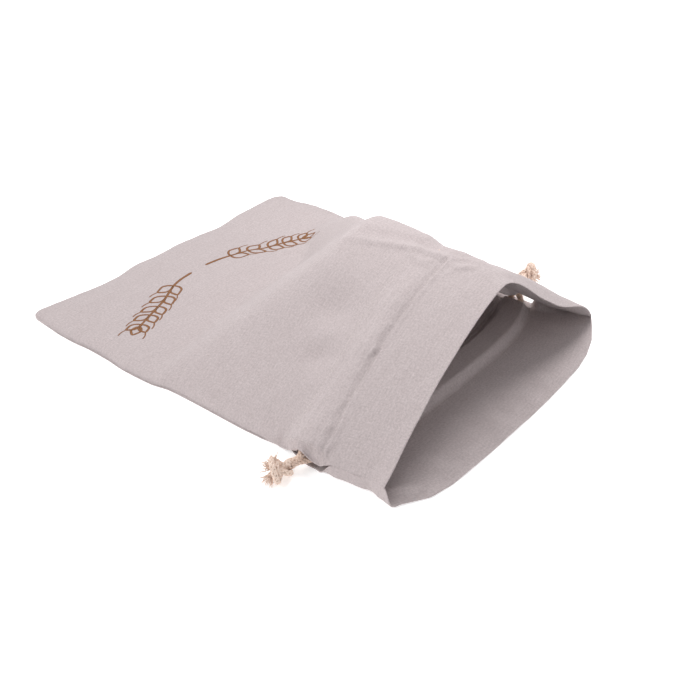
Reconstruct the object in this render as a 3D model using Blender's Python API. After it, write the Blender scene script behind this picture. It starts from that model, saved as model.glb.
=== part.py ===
"""Linen bread bag lying on a table, its mouth held open over the hollow where a loaf goes.

Two linen panels are sewn together along both long sides and the closed end. Each panel's mouth edge
is turned in and stitched down in two rows, which leaves a channel for the drawcords. Each of the two
cords runs through both channels and is knotted where it leaves the bag.

Metres, +Z up. Lengths along the bag are measured from the closed end, and the origin is on the table
under the middle of the bag.
"""

import math

import bmesh
import bpy
import numpy as np
from mathutils import Matrix, Vector

# The flat bag.
BAG_LENGTH = 0.400
CLOTH = 0.0010
HEM = 0.0015
CHANNEL_START = 0.3060
CHANNEL_END = 0.3385
CHANNEL_HEIGHT = 0.0064
CORD_DIAMETER = 0.0050
CORD_DEPTH = 0.0043
TURN_FLATNESS = 0.70

# The frame: the closed end lies this far behind the origin.
ORIGIN_FROM_END = 0.200

# The hump that the cloth keeps over its hollow: slopes are rise over run.
CREST_HEIGHT = 0.0954
CREST_END = 0.2160
CREST_ACROSS = 0.0380
CREST_WIDTH = 0.0100
CREST_DROP = 0.0180
SLOPE_BASE = 0.003
NEAR_SLOPE = 0.54
NEAR_BASE_RISE = 0.016
NEAR_BASE_FROM, NEAR_BASE_TO = 0.22, 0.40
FAR_SLOPE = 1.50
FAR_FOOT = 0.014
FAR_FOOT_GROWS = (0.12, 0.20)
FAR_FOOT_FADES = (0.31, 0.385)
FAR_FOOT_SLOPE = 0.82
FAR_FOOT_ROUNDING = 0.0030
SHOULDER_HEIGHT = 0.1290
SHOULDER_SLOPE = 0.81
SHOULDER_RISE = 0.060
SHOULDER_STARTS = (0.234, 0.278)
NOSE_SLOPE = 0.97
NOSE_SLOPE_AT_FAR = 0.69
NOSE_EASES = (0.035, 0.115)
NOSE_SLOPE_NEAR = 0.31
NOSE_SLOPE_FAR = 0.18
CREST_ROUNDING = 0.0050
TOE_ROUNDING = 0.0018
EDGE_REACH = 0.0160

# On the far side the upper panel droops along its mouth edge.
LIP_DROP = 0.0130
LIP_BEGINS = (0.032, 0.075)
LIP_ENDS = (0.085, 0.140)
LIP_LINE = 0.326
LIP_SKEW = 0.29
LIP_REACH = 0.022

# The flat end puffs up a little between its seams.
SEAM_TOP = 0.0024
PUFF = 0.0042
PUFF_REACH = 0.0150
PUFF_SQUARENESS = 0.35

# The mouth leans back as it rises.
MOUTH_LEAN = 0.35
CORNER_RADIUS = 0.010

# The two long seams of the upper panel, as they lie.
# along, near seam across, its height, far seam across, its height
SEAMS = [
    (-0.010, -0.1490, 0.0024, 0.1445, 0.0024),
    (0.010, -0.1500, 0.0024, 0.1434, 0.0024),
    (0.032, -0.1512, 0.0024, 0.1434, 0.0024),
    (0.050, -0.1508, 0.0024, 0.1468, 0.0024),
    (0.070, -0.1490, 0.0024, 0.1487, 0.0024),
    (0.092, -0.1488, 0.0024, 0.1464, 0.0024),
    (0.112, -0.1498, 0.0024, 0.1422, 0.0024),
    (0.145, -0.1480, 0.0024, 0.1375, 0.0024),
    (0.164, -0.1440, 0.0024, 0.1355, 0.0024),
    (0.200, -0.1422, 0.0024, 0.1325, 0.0024),
    (0.240, -0.1412, 0.0026, 0.1320, 0.0026),
    (0.268, -0.1395, 0.0028, 0.1320, 0.0045),
    (0.278, -0.1395, 0.0034, 0.1328, 0.0105),
    (0.287, -0.1410, 0.0095, 0.1333, 0.0155),
    (0.295, -0.1432, 0.0155, 0.1335, 0.0180),
    (0.300, -0.1435, 0.0163, 0.1335, 0.0180),
    (0.318, -0.1435, 0.0163, 0.1340, 0.0180),
    (0.330, -0.1400, 0.0135, 0.1355, 0.0080),
    (0.345, -0.1370, 0.0136, 0.1390, 0.0034),
    (0.360, -0.1355, 0.0140, 0.1425, 0.0034),
    (0.372, -0.1370, 0.0165, 0.1450, 0.0034),
    (0.386, -0.1402, 0.0195, 0.1470, 0.0034),
]

# The upper panel's mouth edge, before it leans back.  across, along
UPPER_MOUTH = [
    (-0.142, 0.3841),
    (0.020, 0.3841),
    (0.050, 0.3850),
    (0.085, 0.3868),
    (0.110, 0.3862),
    (0.130, 0.3825),
    (0.140, 0.3775),
    (0.148, 0.3710),
]

# The sewn closed end runs a little crooked.  across, along
CLOSED_END = [
    (-0.152, -0.0130),
    (-0.140, -0.0115),
    (-0.106, -0.0055),
    (-0.065, 0.0005),
    (-0.038, -0.0025),
    (-0.020, -0.0002),
    (-0.002, 0.0018),
    (0.018, 0.0036),
    (0.036, 0.0056),
    (0.056, 0.0110),
    (0.072, 0.0093),
    (0.090, 0.0079),
    (0.119, 0.0080),
    (0.148, 0.0115),
]

# The under panel's mouth edge on the table.  across, along
UNDER_MOUTH = [
    (-0.142, 0.3830),
    (-0.138, 0.3835),
    (-0.131, 0.3858),
    (-0.125, 0.3905),
    (-0.119, 0.3950),
    (-0.110, 0.3980),
    (-0.080, 0.4025),
    (0.000, 0.4035),
    (0.080, 0.4000),
    (0.120, 0.3900),
    (0.147, 0.3760),
]

# Beside the near cord the under panel's edge is tucked in from the upper one's.  along, inwards
UNDER_TUCK = [
    (0.262, 0.0),
    (0.276, 0.0022),
    (0.289, 0.0060),
    (0.300, 0.0050),
    (0.308, 0.0035),
    (0.316, 0.0040),
    (0.322, 0.0030),
    (0.330, 0.0),
]

MOUTH_BLEND = 0.030

# The under panel turns up at the near side of the heading to meet the seam.
TURN_UP_START = 0.320
TURN_UP_END = 0.332
TURN_UP_RADIUS = 0.004
SEAM_OVERLAP = 0.0019

# Grid of each panel: rows along the bag, columns across it.
BODY_ROWS = [0.0, 0.006, 0.018, 0.036, 0.060, 0.084, 0.104, 0.120, 0.134, 0.148, 0.162, 0.176,
             0.190, 0.205, 0.220, 0.236, 0.252, 0.268, 0.282, 0.294]
LANE_NEAR_BODY = 0.3172
LANE_NEAR_MOUTH = 0.3276
CHANNEL_ROWS = [CHANNEL_START, 0.3092, LANE_NEAR_BODY, LANE_NEAR_MOUTH, 0.3353, CHANNEL_END]
HEADING_ROWS = [0.348, 0.360, 0.372, 0.384, 0.393, BAG_LENGTH]
ROWS = BODY_ROWS + CHANNEL_ROWS + HEADING_ROWS
UPPER_COLUMNS = 32
UNDER_COLUMNS = 20
TURN_UP_COLUMNS = 5
TURN_UP_SAMPLES = 24
SECTION_SAMPLES = 400
SETTLING_STEPS = 6
# A channel's inner layer stops short of the side seam, to let a cord turn round its end.
CHANNEL_SHORT = 0.0095
UPPER_OPEN = (1, 1)
UNDER_OPEN = (TURN_UP_COLUMNS, 1)
CLEAR_ROWS = (ROWS.index(CHANNEL_START), ROWS.index(CHANNEL_END))

# The knots, and the cord between bag and knot.
KNOT_RADIUS = 0.0095
KNOT_CLEARANCE = 0.0004
NEAR_KNOT = (0.1030, -0.1630, 0.0092)
FAR_KNOT = (0.1000, 0.1575, 0.0092)
STRAIGHT_BEFORE_KNOT = 0.45
# tip away from the knot's middle: along, across (outwards), up
TAILS = [(-0.0145, 0.0050, 0.0010), (0.0010, 0.0160, -0.0045)]
TAIL_ROOT_RADIUS = 0.0036
TAIL_TIP_RADIUS = 0.0044
SAME_POINT = 0.00005


def smooth_rows(rows, column, at):
    """Reads one column of a table at the given places, on a smooth curve with no overshoot."""
    x = np.array([row[0] for row in rows])
    y = np.array([row[column] for row in rows])
    step = np.diff(x)
    rise = np.diff(y) / step
    slope = np.zeros(len(x))
    inner = rise[:-1] * rise[1:] > 0
    weight_a = 2 * step[1:] + step[:-1]
    weight_b = step[1:] + 2 * step[:-1]
    safe = np.where(inner, rise[:-1] * rise[1:], 1.0)
    mean = (weight_a + weight_b) * safe / (weight_a * rise[1:] + weight_b * rise[:-1] + (~inner))
    slope[1:-1] = np.where(inner, mean, 0.0)
    slope[0], slope[-1] = rise[0], rise[-1]
    at = np.clip(np.asarray(at, float), x[0], x[-1])
    i = np.clip(np.searchsorted(x, at) - 1, 0, len(x) - 2)
    h = step[i]
    t = (at - x[i]) / h
    return (y[i] * (1 + 2 * t) * (1 - t) ** 2 + y[i + 1] * t * t * (3 - 2 * t)
            + h * slope[i] * t * (1 - t) ** 2 - h * slope[i + 1] * t * t * (1 - t))


def smooth_step(value, low, high):
    t = np.clip((value - low) / (high - low), 0.0, 1.0)
    return t * t * (3 - 2 * t)


def smooth_min(values, rounding):
    lowest = np.minimum.reduce(values)
    total = sum(np.exp((lowest - value) / rounding) for value in values)
    return lowest - rounding * np.log(total)


def smooth_max(values, rounding):
    return -smooth_min([-value for value in values], rounding)


def hump_height(along, across):
    """The upper cloth over the hollow: two side slopes, a flat crest and a rounded nose."""
    near_seam, far_seam = smooth_rows(SEAMS, 1, along), smooth_rows(SEAMS, 3, along)
    near_base = SLOPE_BASE + NEAR_BASE_RISE * smooth_step(along, NEAR_BASE_FROM, NEAR_BASE_TO)
    near = near_base + NEAR_SLOPE * (across - near_seam)
    foot_width = FAR_FOOT * smooth_step(along, *FAR_FOOT_GROWS) * (
        1 - smooth_step(along, *FAR_FOOT_FADES))
    flank = SLOPE_BASE + FAR_SLOPE * (far_seam - foot_width - across)
    foot = SLOPE_BASE + FAR_FOOT_SLOPE * (far_seam - across)
    far = smooth_max([flank, foot], FAR_FOOT_ROUNDING)
    shoulder = (SHOULDER_HEIGHT - SHOULDER_SLOPE * across
                + SHOULDER_RISE * (1 - smooth_step(along, *SHOULDER_STARTS)))
    crest = CREST_HEIGHT - CREST_DROP * along
    behind = np.maximum(CREST_END - along, 0.0)
    beside_near = np.maximum(CREST_ACROSS - across, 0.0)
    beside_far = np.maximum(across - CREST_ACROSS - CREST_WIDTH, 0.0)
    back_slope = NOSE_SLOPE + (NOSE_SLOPE_AT_FAR - NOSE_SLOPE) * smooth_step(across, *NOSE_EASES)
    nose = crest - np.sqrt((back_slope * behind) ** 2 + (NOSE_SLOPE_NEAR * beside_near) ** 2
                           + (NOSE_SLOPE_FAR * beside_far) ** 2)
    return smooth_min([near, far, shoulder, crest, nose], CREST_ROUNDING) - lip_drop(along, across)


def lip_drop(along, across):
    """How far the upper cloth droops along the far part of its mouth edge."""
    start = LIP_LINE + LIP_SKEW * across
    beside = smooth_step(across, *LIP_BEGINS) * (1 - smooth_step(across, *LIP_ENDS))
    return LIP_DROP * beside * smooth_step(along, start, start + LIP_REACH)


def free_height(along, across):
    """The upper cloth's top before its long edges are drawn to their seams."""
    near, far = smooth_rows(SEAMS, 1, along), smooth_rows(SEAMS, 3, along)
    part = np.clip((across - near) / (far - near), 0.0, 1.0)
    from_side = np.clip(4 * part * (1 - part), 0.0, 1.0) ** PUFF_SQUARENESS
    from_end = 1 - np.exp(-np.maximum(along, 0.0) / PUFF_REACH)
    flat = SEAM_TOP + PUFF * from_side * from_end
    return smooth_max([flat, hump_height(along, across)], TOE_ROUNDING)


def upper_height(along, across):
    """Height of the upper panel's top."""
    height = free_height(along, across)
    for seam, top, away in ((1, 2, 1.0), (3, 4, -1.0)):
        edge = smooth_rows(SEAMS, seam, along)
        error = free_height(along, edge) - smooth_rows(SEAMS, top, along)
        height = height - error * np.exp(-away * (across - edge) / EDGE_REACH)
    return height


def closed_end(across, near, far):
    """Where the closed end lies, with its rounded corners."""
    from_side = np.minimum(across - near, far - across)
    inside = np.clip(1 - from_side / CORNER_RADIUS, 0.0, 1.0)
    return smooth_rows(CLOSED_END, 1, across) + CORNER_RADIUS * (1 - np.sqrt(1 - inside ** 2))


def upper_mouth(across, height):
    """Where the upper panel's mouth edge lies at a given height."""
    return smooth_rows(UPPER_MOUTH, 1, across) - MOUTH_LEAN * height


def upper_section(row):
    """A fine section line of the upper panel's top at one row, from the near seam to the far seam."""
    part = np.linspace(0.0, 1.0, SECTION_SAMPLES)
    along = np.full(SECTION_SAMPLES, row)
    for _ in range(SETTLING_STEPS):
        near, far = smooth_rows(SEAMS, 1, along), smooth_rows(SEAMS, 3, along)
        across = near + (far - near) * part
        mouth = upper_mouth(across, 0.0)
        for _ in range(SETTLING_STEPS):
            mouth = upper_mouth(across, upper_height(mouth, across))
        start = closed_end(across, near, far)
        along = start + (mouth - start) * row / BAG_LENGTH
    return np.stack([along, across, upper_height(along, across)], axis=1)


def under_mouth(along, across, height, far):
    """Where the under panel's mouth edge lies; at the far seam it meets the upper panel's."""
    error = upper_mouth(far, smooth_rows(SEAMS, 4, along)) - smooth_rows(UNDER_MOUTH, 1, far)
    blend = np.exp((across - far) / MOUTH_BLEND)
    return smooth_rows(UNDER_MOUTH, 1, across) - MOUTH_LEAN * height + error * blend


def turned_up_edge(lift):
    """Across and up, from the lifted near edge down to the table, as evenly spaced points."""
    bend = min(lift, TURN_UP_RADIUS)
    turn = np.linspace(math.pi / 2, 0.0, TURN_UP_SAMPLES)
    across = np.concatenate([[0.0], TURN_UP_RADIUS * (1 - np.sin(turn))])
    up = np.concatenate([[lift], bend * (1 - np.cos(turn))])
    line = even_points(np.stack([across, up], axis=1), TURN_UP_COLUMNS - 1)
    return line[:, 0], line[:, 1]


def under_section(row):
    """The same for the underside of the under panel."""
    flat = np.linspace(0.0, 1.0, UNDER_COLUMNS - TURN_UP_COLUMNS)
    along = np.full(UNDER_COLUMNS + 1, row)
    height = np.zeros(UNDER_COLUMNS + 1)
    for _ in range(SETTLING_STEPS):
        near = smooth_rows(SEAMS, 1, along) + smooth_rows(UNDER_TUCK, 1, along)
        far = smooth_rows(SEAMS, 3, along)
        lift = (smooth_rows(SEAMS, 2, along[0]) - SEAM_OVERLAP) * smooth_step(
            along[0], TURN_UP_START, TURN_UP_END)
        turned, height[:TURN_UP_COLUMNS] = turned_up_edge(lift)
        first = near[TURN_UP_COLUMNS:-1] + CHANNEL_SHORT
        rest = first + (far[TURN_UP_COLUMNS:-1] - CHANNEL_SHORT - first) * flat
        across = np.concatenate([near[:TURN_UP_COLUMNS] + turned, rest, far[-1:]])
        mouth = under_mouth(along, across, height, far)
        start = closed_end(across, near, far)
        along = start + (mouth - start) * row / BAG_LENGTH
    return np.stack([along, across, height], axis=1)


def even_points(line, count):
    """The line again as count + 1 points, evenly spaced along it."""
    run = np.concatenate([[0.0], np.cumsum(np.linalg.norm(np.diff(line, axis=0), axis=1))])
    at = np.linspace(0.0, run[-1], count + 1)
    return np.stack([np.interp(at, run, column) for column in line.T], axis=1)


def inward_normals(grid, side):
    """Unit vectors at right angles to a grid of points, pointing into the bag."""
    normal = np.cross(np.gradient(grid, axis=0), np.gradient(grid, axis=1))
    return side * normal / np.linalg.norm(normal, axis=2, keepdims=True)


def upper_grid():
    grid = np.array([even_points(upper_section(row), UPPER_COLUMNS) for row in ROWS])
    grid[:, :, 0] -= ORIGIN_FROM_END
    return grid


def under_grid():
    grid = np.array([under_section(row) for row in ROWS])
    grid[:, :, 0] -= ORIGIN_FROM_END
    return grid


def panel_levels(grid, inward):
    """Four levels of each grid point: outer face, roof and floor of the channel, inner face."""
    first, last = CLEAR_ROWS
    levels = np.zeros((4,) + grid.shape)
    for i, row in enumerate(ROWS):
        in_channel = first < i < last
        total = CLOTH if i < first else HEM
        depths = [0.0, CLOTH, CLOTH + CHANNEL_HEIGHT, 2 * CLOTH + CHANNEL_HEIGHT]
        if not in_channel:
            depths = [0.0, total / 2, total / 2, total]
        for level, depth in enumerate(depths):
            levels[level, i] = grid[i] + inward[i] * depth
    return levels


def panel_mesh(name, levels, open_columns):
    """One closed body of two cells in each grid square, the channel left out between them."""
    rows, columns = levels.shape[1], levels.shape[2]
    first, last = CLEAR_ROWS

    def key(level, i, j):
        return (1 if level == 2 and not first < i < last else level, i, j)

    faces = {}
    for i in range(rows - 1):
        for j in range(columns - 1):
            beside_channel = j < open_columns[0] or j >= columns - 1 - open_columns[1]
            for top in (0, 2):
                if top == 2 and first <= i < last and beside_channel:
                    continue
                a = [key(top, i, j), key(top, i + 1, j), key(top, i + 1, j + 1), key(top, i, j + 1)]
                b = [key(top + 1, *corner[1:]) for corner in a]
                sides = [[a[k], b[k], b[(k + 1) % 4], a[(k + 1) % 4]] for k in range(4)]
                for face in [a, b[::-1]] + sides:
                    tag = frozenset(face)
                    if tag in faces:
                        del faces[tag]
                    else:
                        faces[tag] = face
    used = sorted({corner for face in faces.values() for corner in face})
    number = {corner: n for n, corner in enumerate(used)}
    mesh = bpy.data.meshes.new(name)
    mesh.from_pydata([levels[corner] for corner in used], [],
                     [[number[corner] for corner in face] for face in faces.values()])
    return mesh


def finish(name, mesh, material):
    """Makes the object, with its faces pointing out."""
    body = bmesh.new()
    body.from_mesh(mesh)
    bmesh.ops.recalc_face_normals(body, faces=body.faces)
    body.to_mesh(mesh)
    body.free()
    mesh.shade_smooth()
    mesh.set_sharp_from_angle(angle=math.radians(40))
    mesh.materials.append(material)
    piece = bpy.data.objects.new(name, mesh)
    bpy.context.scene.collection.objects.link(piece)
    return piece


def plain_material(name, color, roughness):
    material = bpy.data.materials.new(name)
    material.use_nodes = True
    shader = material.node_tree.nodes["Principled BSDF"]
    shader.inputs["Base Color"].default_value = (*color, 1.0)
    shader.inputs["Roughness"].default_value = roughness
    shader.inputs["Metallic"].default_value = 0.0
    return material


def lane_line(grid, inward, lane, open_columns):
    """A cord's middle line along one lane of a channel, from the far side to the near side."""
    row = ROWS.index(lane)
    line = grid[row] + inward[row] * CORD_DEPTH
    last = len(line) - 1
    kept = [0] + list(range(open_columns[0], last - open_columns[1] + 1)) + [last]
    return line[kept[::-1]]


def half_turn(start, end, outward, steps=7):
    """The cord's turn from one channel into the other, without its two ends."""
    middle, arm = (start + end) / 2, (start - end) / 2
    reach = TURN_FLATNESS * np.linalg.norm(arm)
    angles = np.linspace(0.0, math.pi, steps + 2)[1:-1]
    return [middle + arm * math.cos(t) + outward * reach * math.sin(t) for t in angles]


def to_knot(start, knot):
    """The cord from its channel's end to the knot's surface."""
    start, knot = np.array(start), np.array(knot)
    away = start - knot
    end = knot + away / np.linalg.norm(away) * (KNOT_RADIUS + KNOT_CLEARANCE)
    return [end, end + (start - end) * STRAIGHT_BEFORE_KNOT]


def cord_route(upper_lane, under_lane, knot, outward):
    """From the knot through the upper channel, round the other side, and back through the under one."""
    if outward < 0:
        upper_lane, under_lane = upper_lane[::-1], under_lane[::-1]
    turn = half_turn(upper_lane[1], under_lane[1], np.array([0.0, outward, 0.0]))
    first = to_knot(upper_lane[-1], knot)
    last = to_knot(under_lane[-1], knot)
    route = first + list(upper_lane[::-1])[:-1] + turn + list(under_lane)[1:] + last[::-1]
    return [Vector(point) for point in route]


def add_cord(name, route, material):
    curve = bpy.data.curves.new(name, "CURVE")
    curve.dimensions = "3D"
    curve.bevel_depth = CORD_DIAMETER / 2
    curve.bevel_resolution = 2
    curve.use_fill_caps = True
    spline = curve.splines.new("POLY")
    spline.points.add(len(route) - 1)
    for point, place in zip(spline.points, route):
        point.co = (*place, 1.0)
    curve.materials.append(material)
    cord = bpy.data.objects.new(name, curve)
    bpy.context.scene.collection.objects.link(cord)
    return cord


def tail_mesh(tip):
    """A short frayed end, a little wider at its tip."""
    direction = Vector(tip)
    body = bmesh.new()
    bmesh.ops.create_cone(body, cap_ends=True, segments=10, radius1=TAIL_ROOT_RADIUS,
                          radius2=TAIL_TIP_RADIUS, depth=direction.length)
    turn = direction.to_track_quat("Z", "Y").to_matrix().to_4x4()
    bmesh.ops.transform(body, verts=body.verts, matrix=Matrix.Translation(direction / 2) @ turn)
    return body


def add_knot(name, place, side, material):
    """The knot's outer shape, with its two frayed ends and a flat spot where it rests."""
    pieces = []
    for index, tail in enumerate([None] + TAILS):
        if tail is None:
            body = bmesh.new()
            bmesh.ops.create_uvsphere(body, u_segments=16, v_segments=10, radius=KNOT_RADIUS)
        else:
            body = tail_mesh((tail[0], tail[1] * side, tail[2]))
        for vertex in body.verts:
            vertex.co.z = max(vertex.co.z, -place[2])
        bmesh.ops.remove_doubles(body, verts=body.verts, dist=SAME_POINT)
        mesh = bpy.data.meshes.new(f"{name}_{index}")
        body.to_mesh(mesh)
        body.free()
        piece = bpy.data.objects.new(mesh.name, mesh)
        piece.location = place
        bpy.context.scene.collection.objects.link(piece)
        pieces.append(piece)
    knot = pieces[0]
    knot.name = name
    knot.data.materials.append(material)
    for tail in pieces[1:]:
        tail.hide_render = True
        tail.display_type = "WIRE"
        union = knot.modifiers.new(tail.name, "BOOLEAN")
        union.operation = "UNION"
        union.solver = "EXACT"
        union.object = tail
    return knot


def main():
    for old in list(bpy.data.objects):
        bpy.data.objects.remove(old)
    linen = plain_material("linen", (0.64, 0.56, 0.55), 0.95)
    under_linen = plain_material("under_linen", (0.58, 0.50, 0.48), 0.95)
    cotton = plain_material("cotton_cord", (0.60, 0.48, 0.40), 0.90)
    knotted = plain_material("cotton_knot", (0.62, 0.52, 0.45), 0.90)

    upper, under = upper_grid(), under_grid()
    upper_in, under_in = inward_normals(upper, -1.0), inward_normals(under, 1.0)
    finish("front_panel", panel_mesh("front_panel", panel_levels(upper, upper_in), UPPER_OPEN), linen)
    finish("back_panel", panel_mesh("back_panel", panel_levels(under, under_in), UNDER_OPEN),
           under_linen)

    near_route = cord_route(lane_line(upper, upper_in, LANE_NEAR_BODY, UPPER_OPEN),
                            lane_line(under, under_in, LANE_NEAR_MOUTH, UNDER_OPEN), NEAR_KNOT, 1.0)
    far_route = cord_route(lane_line(upper, upper_in, LANE_NEAR_MOUTH, UPPER_OPEN),
                           lane_line(under, under_in, LANE_NEAR_BODY, UNDER_OPEN), FAR_KNOT, -1.0)
    add_cord("drawcord_near", near_route, cotton)
    add_cord("drawcord_far", far_route, cotton)
    add_knot("knot_near", NEAR_KNOT, -1.0, knotted)
    add_knot("knot_far", FAR_KNOT, 1.0, knotted)


main()
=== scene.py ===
"""Linen bread bag lying with its mouth held open, two braided drawcords knotted beside it.

Lengths are metres. "along" runs from the closed end to the mouth and is the frame's x plus
ORIGIN_FROM_END. "across" is the frame's y, from the near seam to the far one. A "row" is a distance
along the flat cloth, and a "run" the distance over the cloth from its near edge. The first section
repeats the CAD part's shape; the others add the cloth's relief, its print, stitches and cords.
"""
import math

import bpy
import numpy as np
from mathutils import Matrix, Vector


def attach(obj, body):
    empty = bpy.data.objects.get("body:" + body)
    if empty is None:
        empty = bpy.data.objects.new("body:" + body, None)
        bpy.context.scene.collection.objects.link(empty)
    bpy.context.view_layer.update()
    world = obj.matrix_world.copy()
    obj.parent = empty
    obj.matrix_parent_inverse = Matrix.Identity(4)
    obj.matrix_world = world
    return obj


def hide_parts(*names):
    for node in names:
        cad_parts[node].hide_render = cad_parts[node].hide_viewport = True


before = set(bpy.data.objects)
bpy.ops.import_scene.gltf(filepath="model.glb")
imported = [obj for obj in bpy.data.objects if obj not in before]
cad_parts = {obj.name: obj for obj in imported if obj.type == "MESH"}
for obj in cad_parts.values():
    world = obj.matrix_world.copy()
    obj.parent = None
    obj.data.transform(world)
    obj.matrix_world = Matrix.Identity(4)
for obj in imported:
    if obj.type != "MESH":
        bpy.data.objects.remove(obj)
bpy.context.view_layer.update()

# ---------------- shape, as in the CAD part
# The flat bag.
BAG_LENGTH = 0.400
CHANNEL_START = 0.3060
CHANNEL_END = 0.3385
CHANNEL_HEIGHT = 0.0064
CORD_DIAMETER = 0.0050
CORD_DEPTH = 0.0043
TURN_FLATNESS = 0.70

# The frame: the closed end lies this far behind the origin.
ORIGIN_FROM_END = 0.200

# The hump that the cloth keeps over its hollow: slopes are rise over run.
CREST_HEIGHT = 0.0954
CREST_END = 0.2160
CREST_ACROSS = 0.0380
CREST_WIDTH = 0.0100
CREST_DROP = 0.0180
SLOPE_BASE = 0.003
NEAR_SLOPE = 0.54
NEAR_BASE_RISE = 0.016
NEAR_BASE_FROM, NEAR_BASE_TO = 0.22, 0.40
FAR_SLOPE = 1.50
FAR_FOOT = 0.014
FAR_FOOT_GROWS = (0.12, 0.20)
FAR_FOOT_FADES = (0.31, 0.385)
FAR_FOOT_SLOPE = 0.82
FAR_FOOT_ROUNDING = 0.0030
SHOULDER_HEIGHT = 0.1290
SHOULDER_SLOPE = 0.81
SHOULDER_RISE = 0.060
SHOULDER_STARTS = (0.234, 0.278)
NOSE_SLOPE = 0.97
NOSE_SLOPE_AT_FAR = 0.69
NOSE_EASES = (0.035, 0.115)
NOSE_SLOPE_NEAR = 0.31
NOSE_SLOPE_FAR = 0.18
CREST_ROUNDING = 0.0050
TOE_ROUNDING = 0.0018
EDGE_REACH = 0.0160

# On the far side the upper panel droops along its mouth edge.
LIP_DROP = 0.0130
LIP_BEGINS = (0.032, 0.075)
LIP_ENDS = (0.085, 0.140)
LIP_LINE = 0.326
LIP_SKEW = 0.29
LIP_REACH = 0.022

# The flat end puffs up a little between its seams.
SEAM_TOP = 0.0024
PUFF = 0.0042
PUFF_REACH = 0.0150
PUFF_SQUARENESS = 0.35

# The mouth leans back as it rises.
MOUTH_LEAN = 0.35
CORNER_RADIUS = 0.010

# The two long seams of the upper panel, as they lie.
# along, near seam across, its height, far seam across, its height
SEAMS = [
    (-0.010, -0.1490, 0.0024, 0.1445, 0.0024), (0.010, -0.1500, 0.0024, 0.1434, 0.0024),
    (0.032, -0.1512, 0.0024, 0.1434, 0.0024), (0.050, -0.1508, 0.0024, 0.1468, 0.0024),
    (0.070, -0.1490, 0.0024, 0.1487, 0.0024), (0.092, -0.1488, 0.0024, 0.1464, 0.0024),
    (0.112, -0.1498, 0.0024, 0.1422, 0.0024), (0.145, -0.1480, 0.0024, 0.1375, 0.0024),
    (0.164, -0.1440, 0.0024, 0.1355, 0.0024), (0.200, -0.1422, 0.0024, 0.1325, 0.0024),
    (0.240, -0.1412, 0.0026, 0.1320, 0.0026), (0.268, -0.1395, 0.0028, 0.1320, 0.0045),
    (0.278, -0.1395, 0.0034, 0.1328, 0.0105), (0.287, -0.1410, 0.0095, 0.1333, 0.0155),
    (0.295, -0.1432, 0.0155, 0.1335, 0.0180), (0.300, -0.1435, 0.0163, 0.1335, 0.0180),
    (0.318, -0.1435, 0.0163, 0.1340, 0.0180), (0.330, -0.1400, 0.0135, 0.1355, 0.0080),
    (0.345, -0.1370, 0.0136, 0.1390, 0.0034), (0.360, -0.1355, 0.0140, 0.1425, 0.0034),
    (0.372, -0.1370, 0.0165, 0.1450, 0.0034), (0.386, -0.1402, 0.0195, 0.1470, 0.0034),
]

# The upper panel's mouth edge, before it leans back.  across, along
UPPER_MOUTH = [
    (-0.142, 0.3841), (0.020, 0.3841), (0.050, 0.3850), (0.085, 0.3868), (0.110, 0.3862),
    (0.130, 0.3825), (0.140, 0.3775), (0.148, 0.3710),
]

# The sewn closed end runs a little crooked.  across, along
CLOSED_END = [
    (-0.152, -0.0130), (-0.140, -0.0115), (-0.106, -0.0055), (-0.065, 0.0005), (-0.038, -0.0025),
    (-0.020, -0.0002), (-0.002, 0.0018), (0.018, 0.0036), (0.036, 0.0056), (0.056, 0.0110),
    (0.072, 0.0093), (0.090, 0.0079), (0.119, 0.0080), (0.148, 0.0115),
]

# The under panel's mouth edge on the table.  across, along
UNDER_MOUTH = [
    (-0.142, 0.3830), (-0.138, 0.3835), (-0.131, 0.3858), (-0.125, 0.3905), (-0.119, 0.3950),
    (-0.110, 0.3980), (-0.080, 0.4025), (0.000, 0.4035), (0.080, 0.4000), (0.120, 0.3900),
    (0.147, 0.3760),
]

# Beside the near cord the under panel's edge is tucked in from the upper one's.  along, inwards
UNDER_TUCK = [
    (0.262, 0.0), (0.276, 0.0022), (0.289, 0.0060), (0.300, 0.0050), (0.308, 0.0035),
    (0.316, 0.0040), (0.322, 0.0030), (0.330, 0.0),
]

MOUTH_BLEND = 0.030

# The under panel turns up at the near side of the heading to meet the seam.
TURN_UP_START = 0.320
TURN_UP_END = 0.332
TURN_UP_RADIUS = 0.004
SEAM_OVERLAP = 0.0019

# Grid of each panel: rows along the bag, columns across it.
BODY_ROWS = [0.0, 0.006, 0.018, 0.036, 0.060, 0.084, 0.104, 0.120, 0.134, 0.148, 0.162, 0.176,
             0.190, 0.205, 0.220, 0.236, 0.252, 0.268, 0.282, 0.294]
LANE_NEAR_BODY = 0.3172
LANE_NEAR_MOUTH = 0.3276
CHANNEL_ROWS = [CHANNEL_START, 0.3092, LANE_NEAR_BODY, LANE_NEAR_MOUTH, 0.3353, CHANNEL_END]
HEADING_ROWS = [0.348, 0.360, 0.372, 0.384, 0.393, BAG_LENGTH]
ROWS = BODY_ROWS + CHANNEL_ROWS + HEADING_ROWS
UPPER_COLUMNS = 32
UNDER_COLUMNS = 20
TURN_UP_COLUMNS = 5
TURN_UP_SAMPLES = 24
SECTION_SAMPLES = 400
SETTLING_STEPS = 6
# A channel's inner layer stops short of the side seam, to let a cord turn round its end.
CHANNEL_SHORT = 0.0095

# The knots, and the cord between bag and knot.
KNOT_RADIUS = 0.0095
KNOT_CLEARANCE = 0.0004
NEAR_KNOT = (0.1030, -0.1630, 0.0092)
FAR_KNOT = (0.1000, 0.1575, 0.0092)
STRAIGHT_BEFORE_KNOT = 0.45


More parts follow.
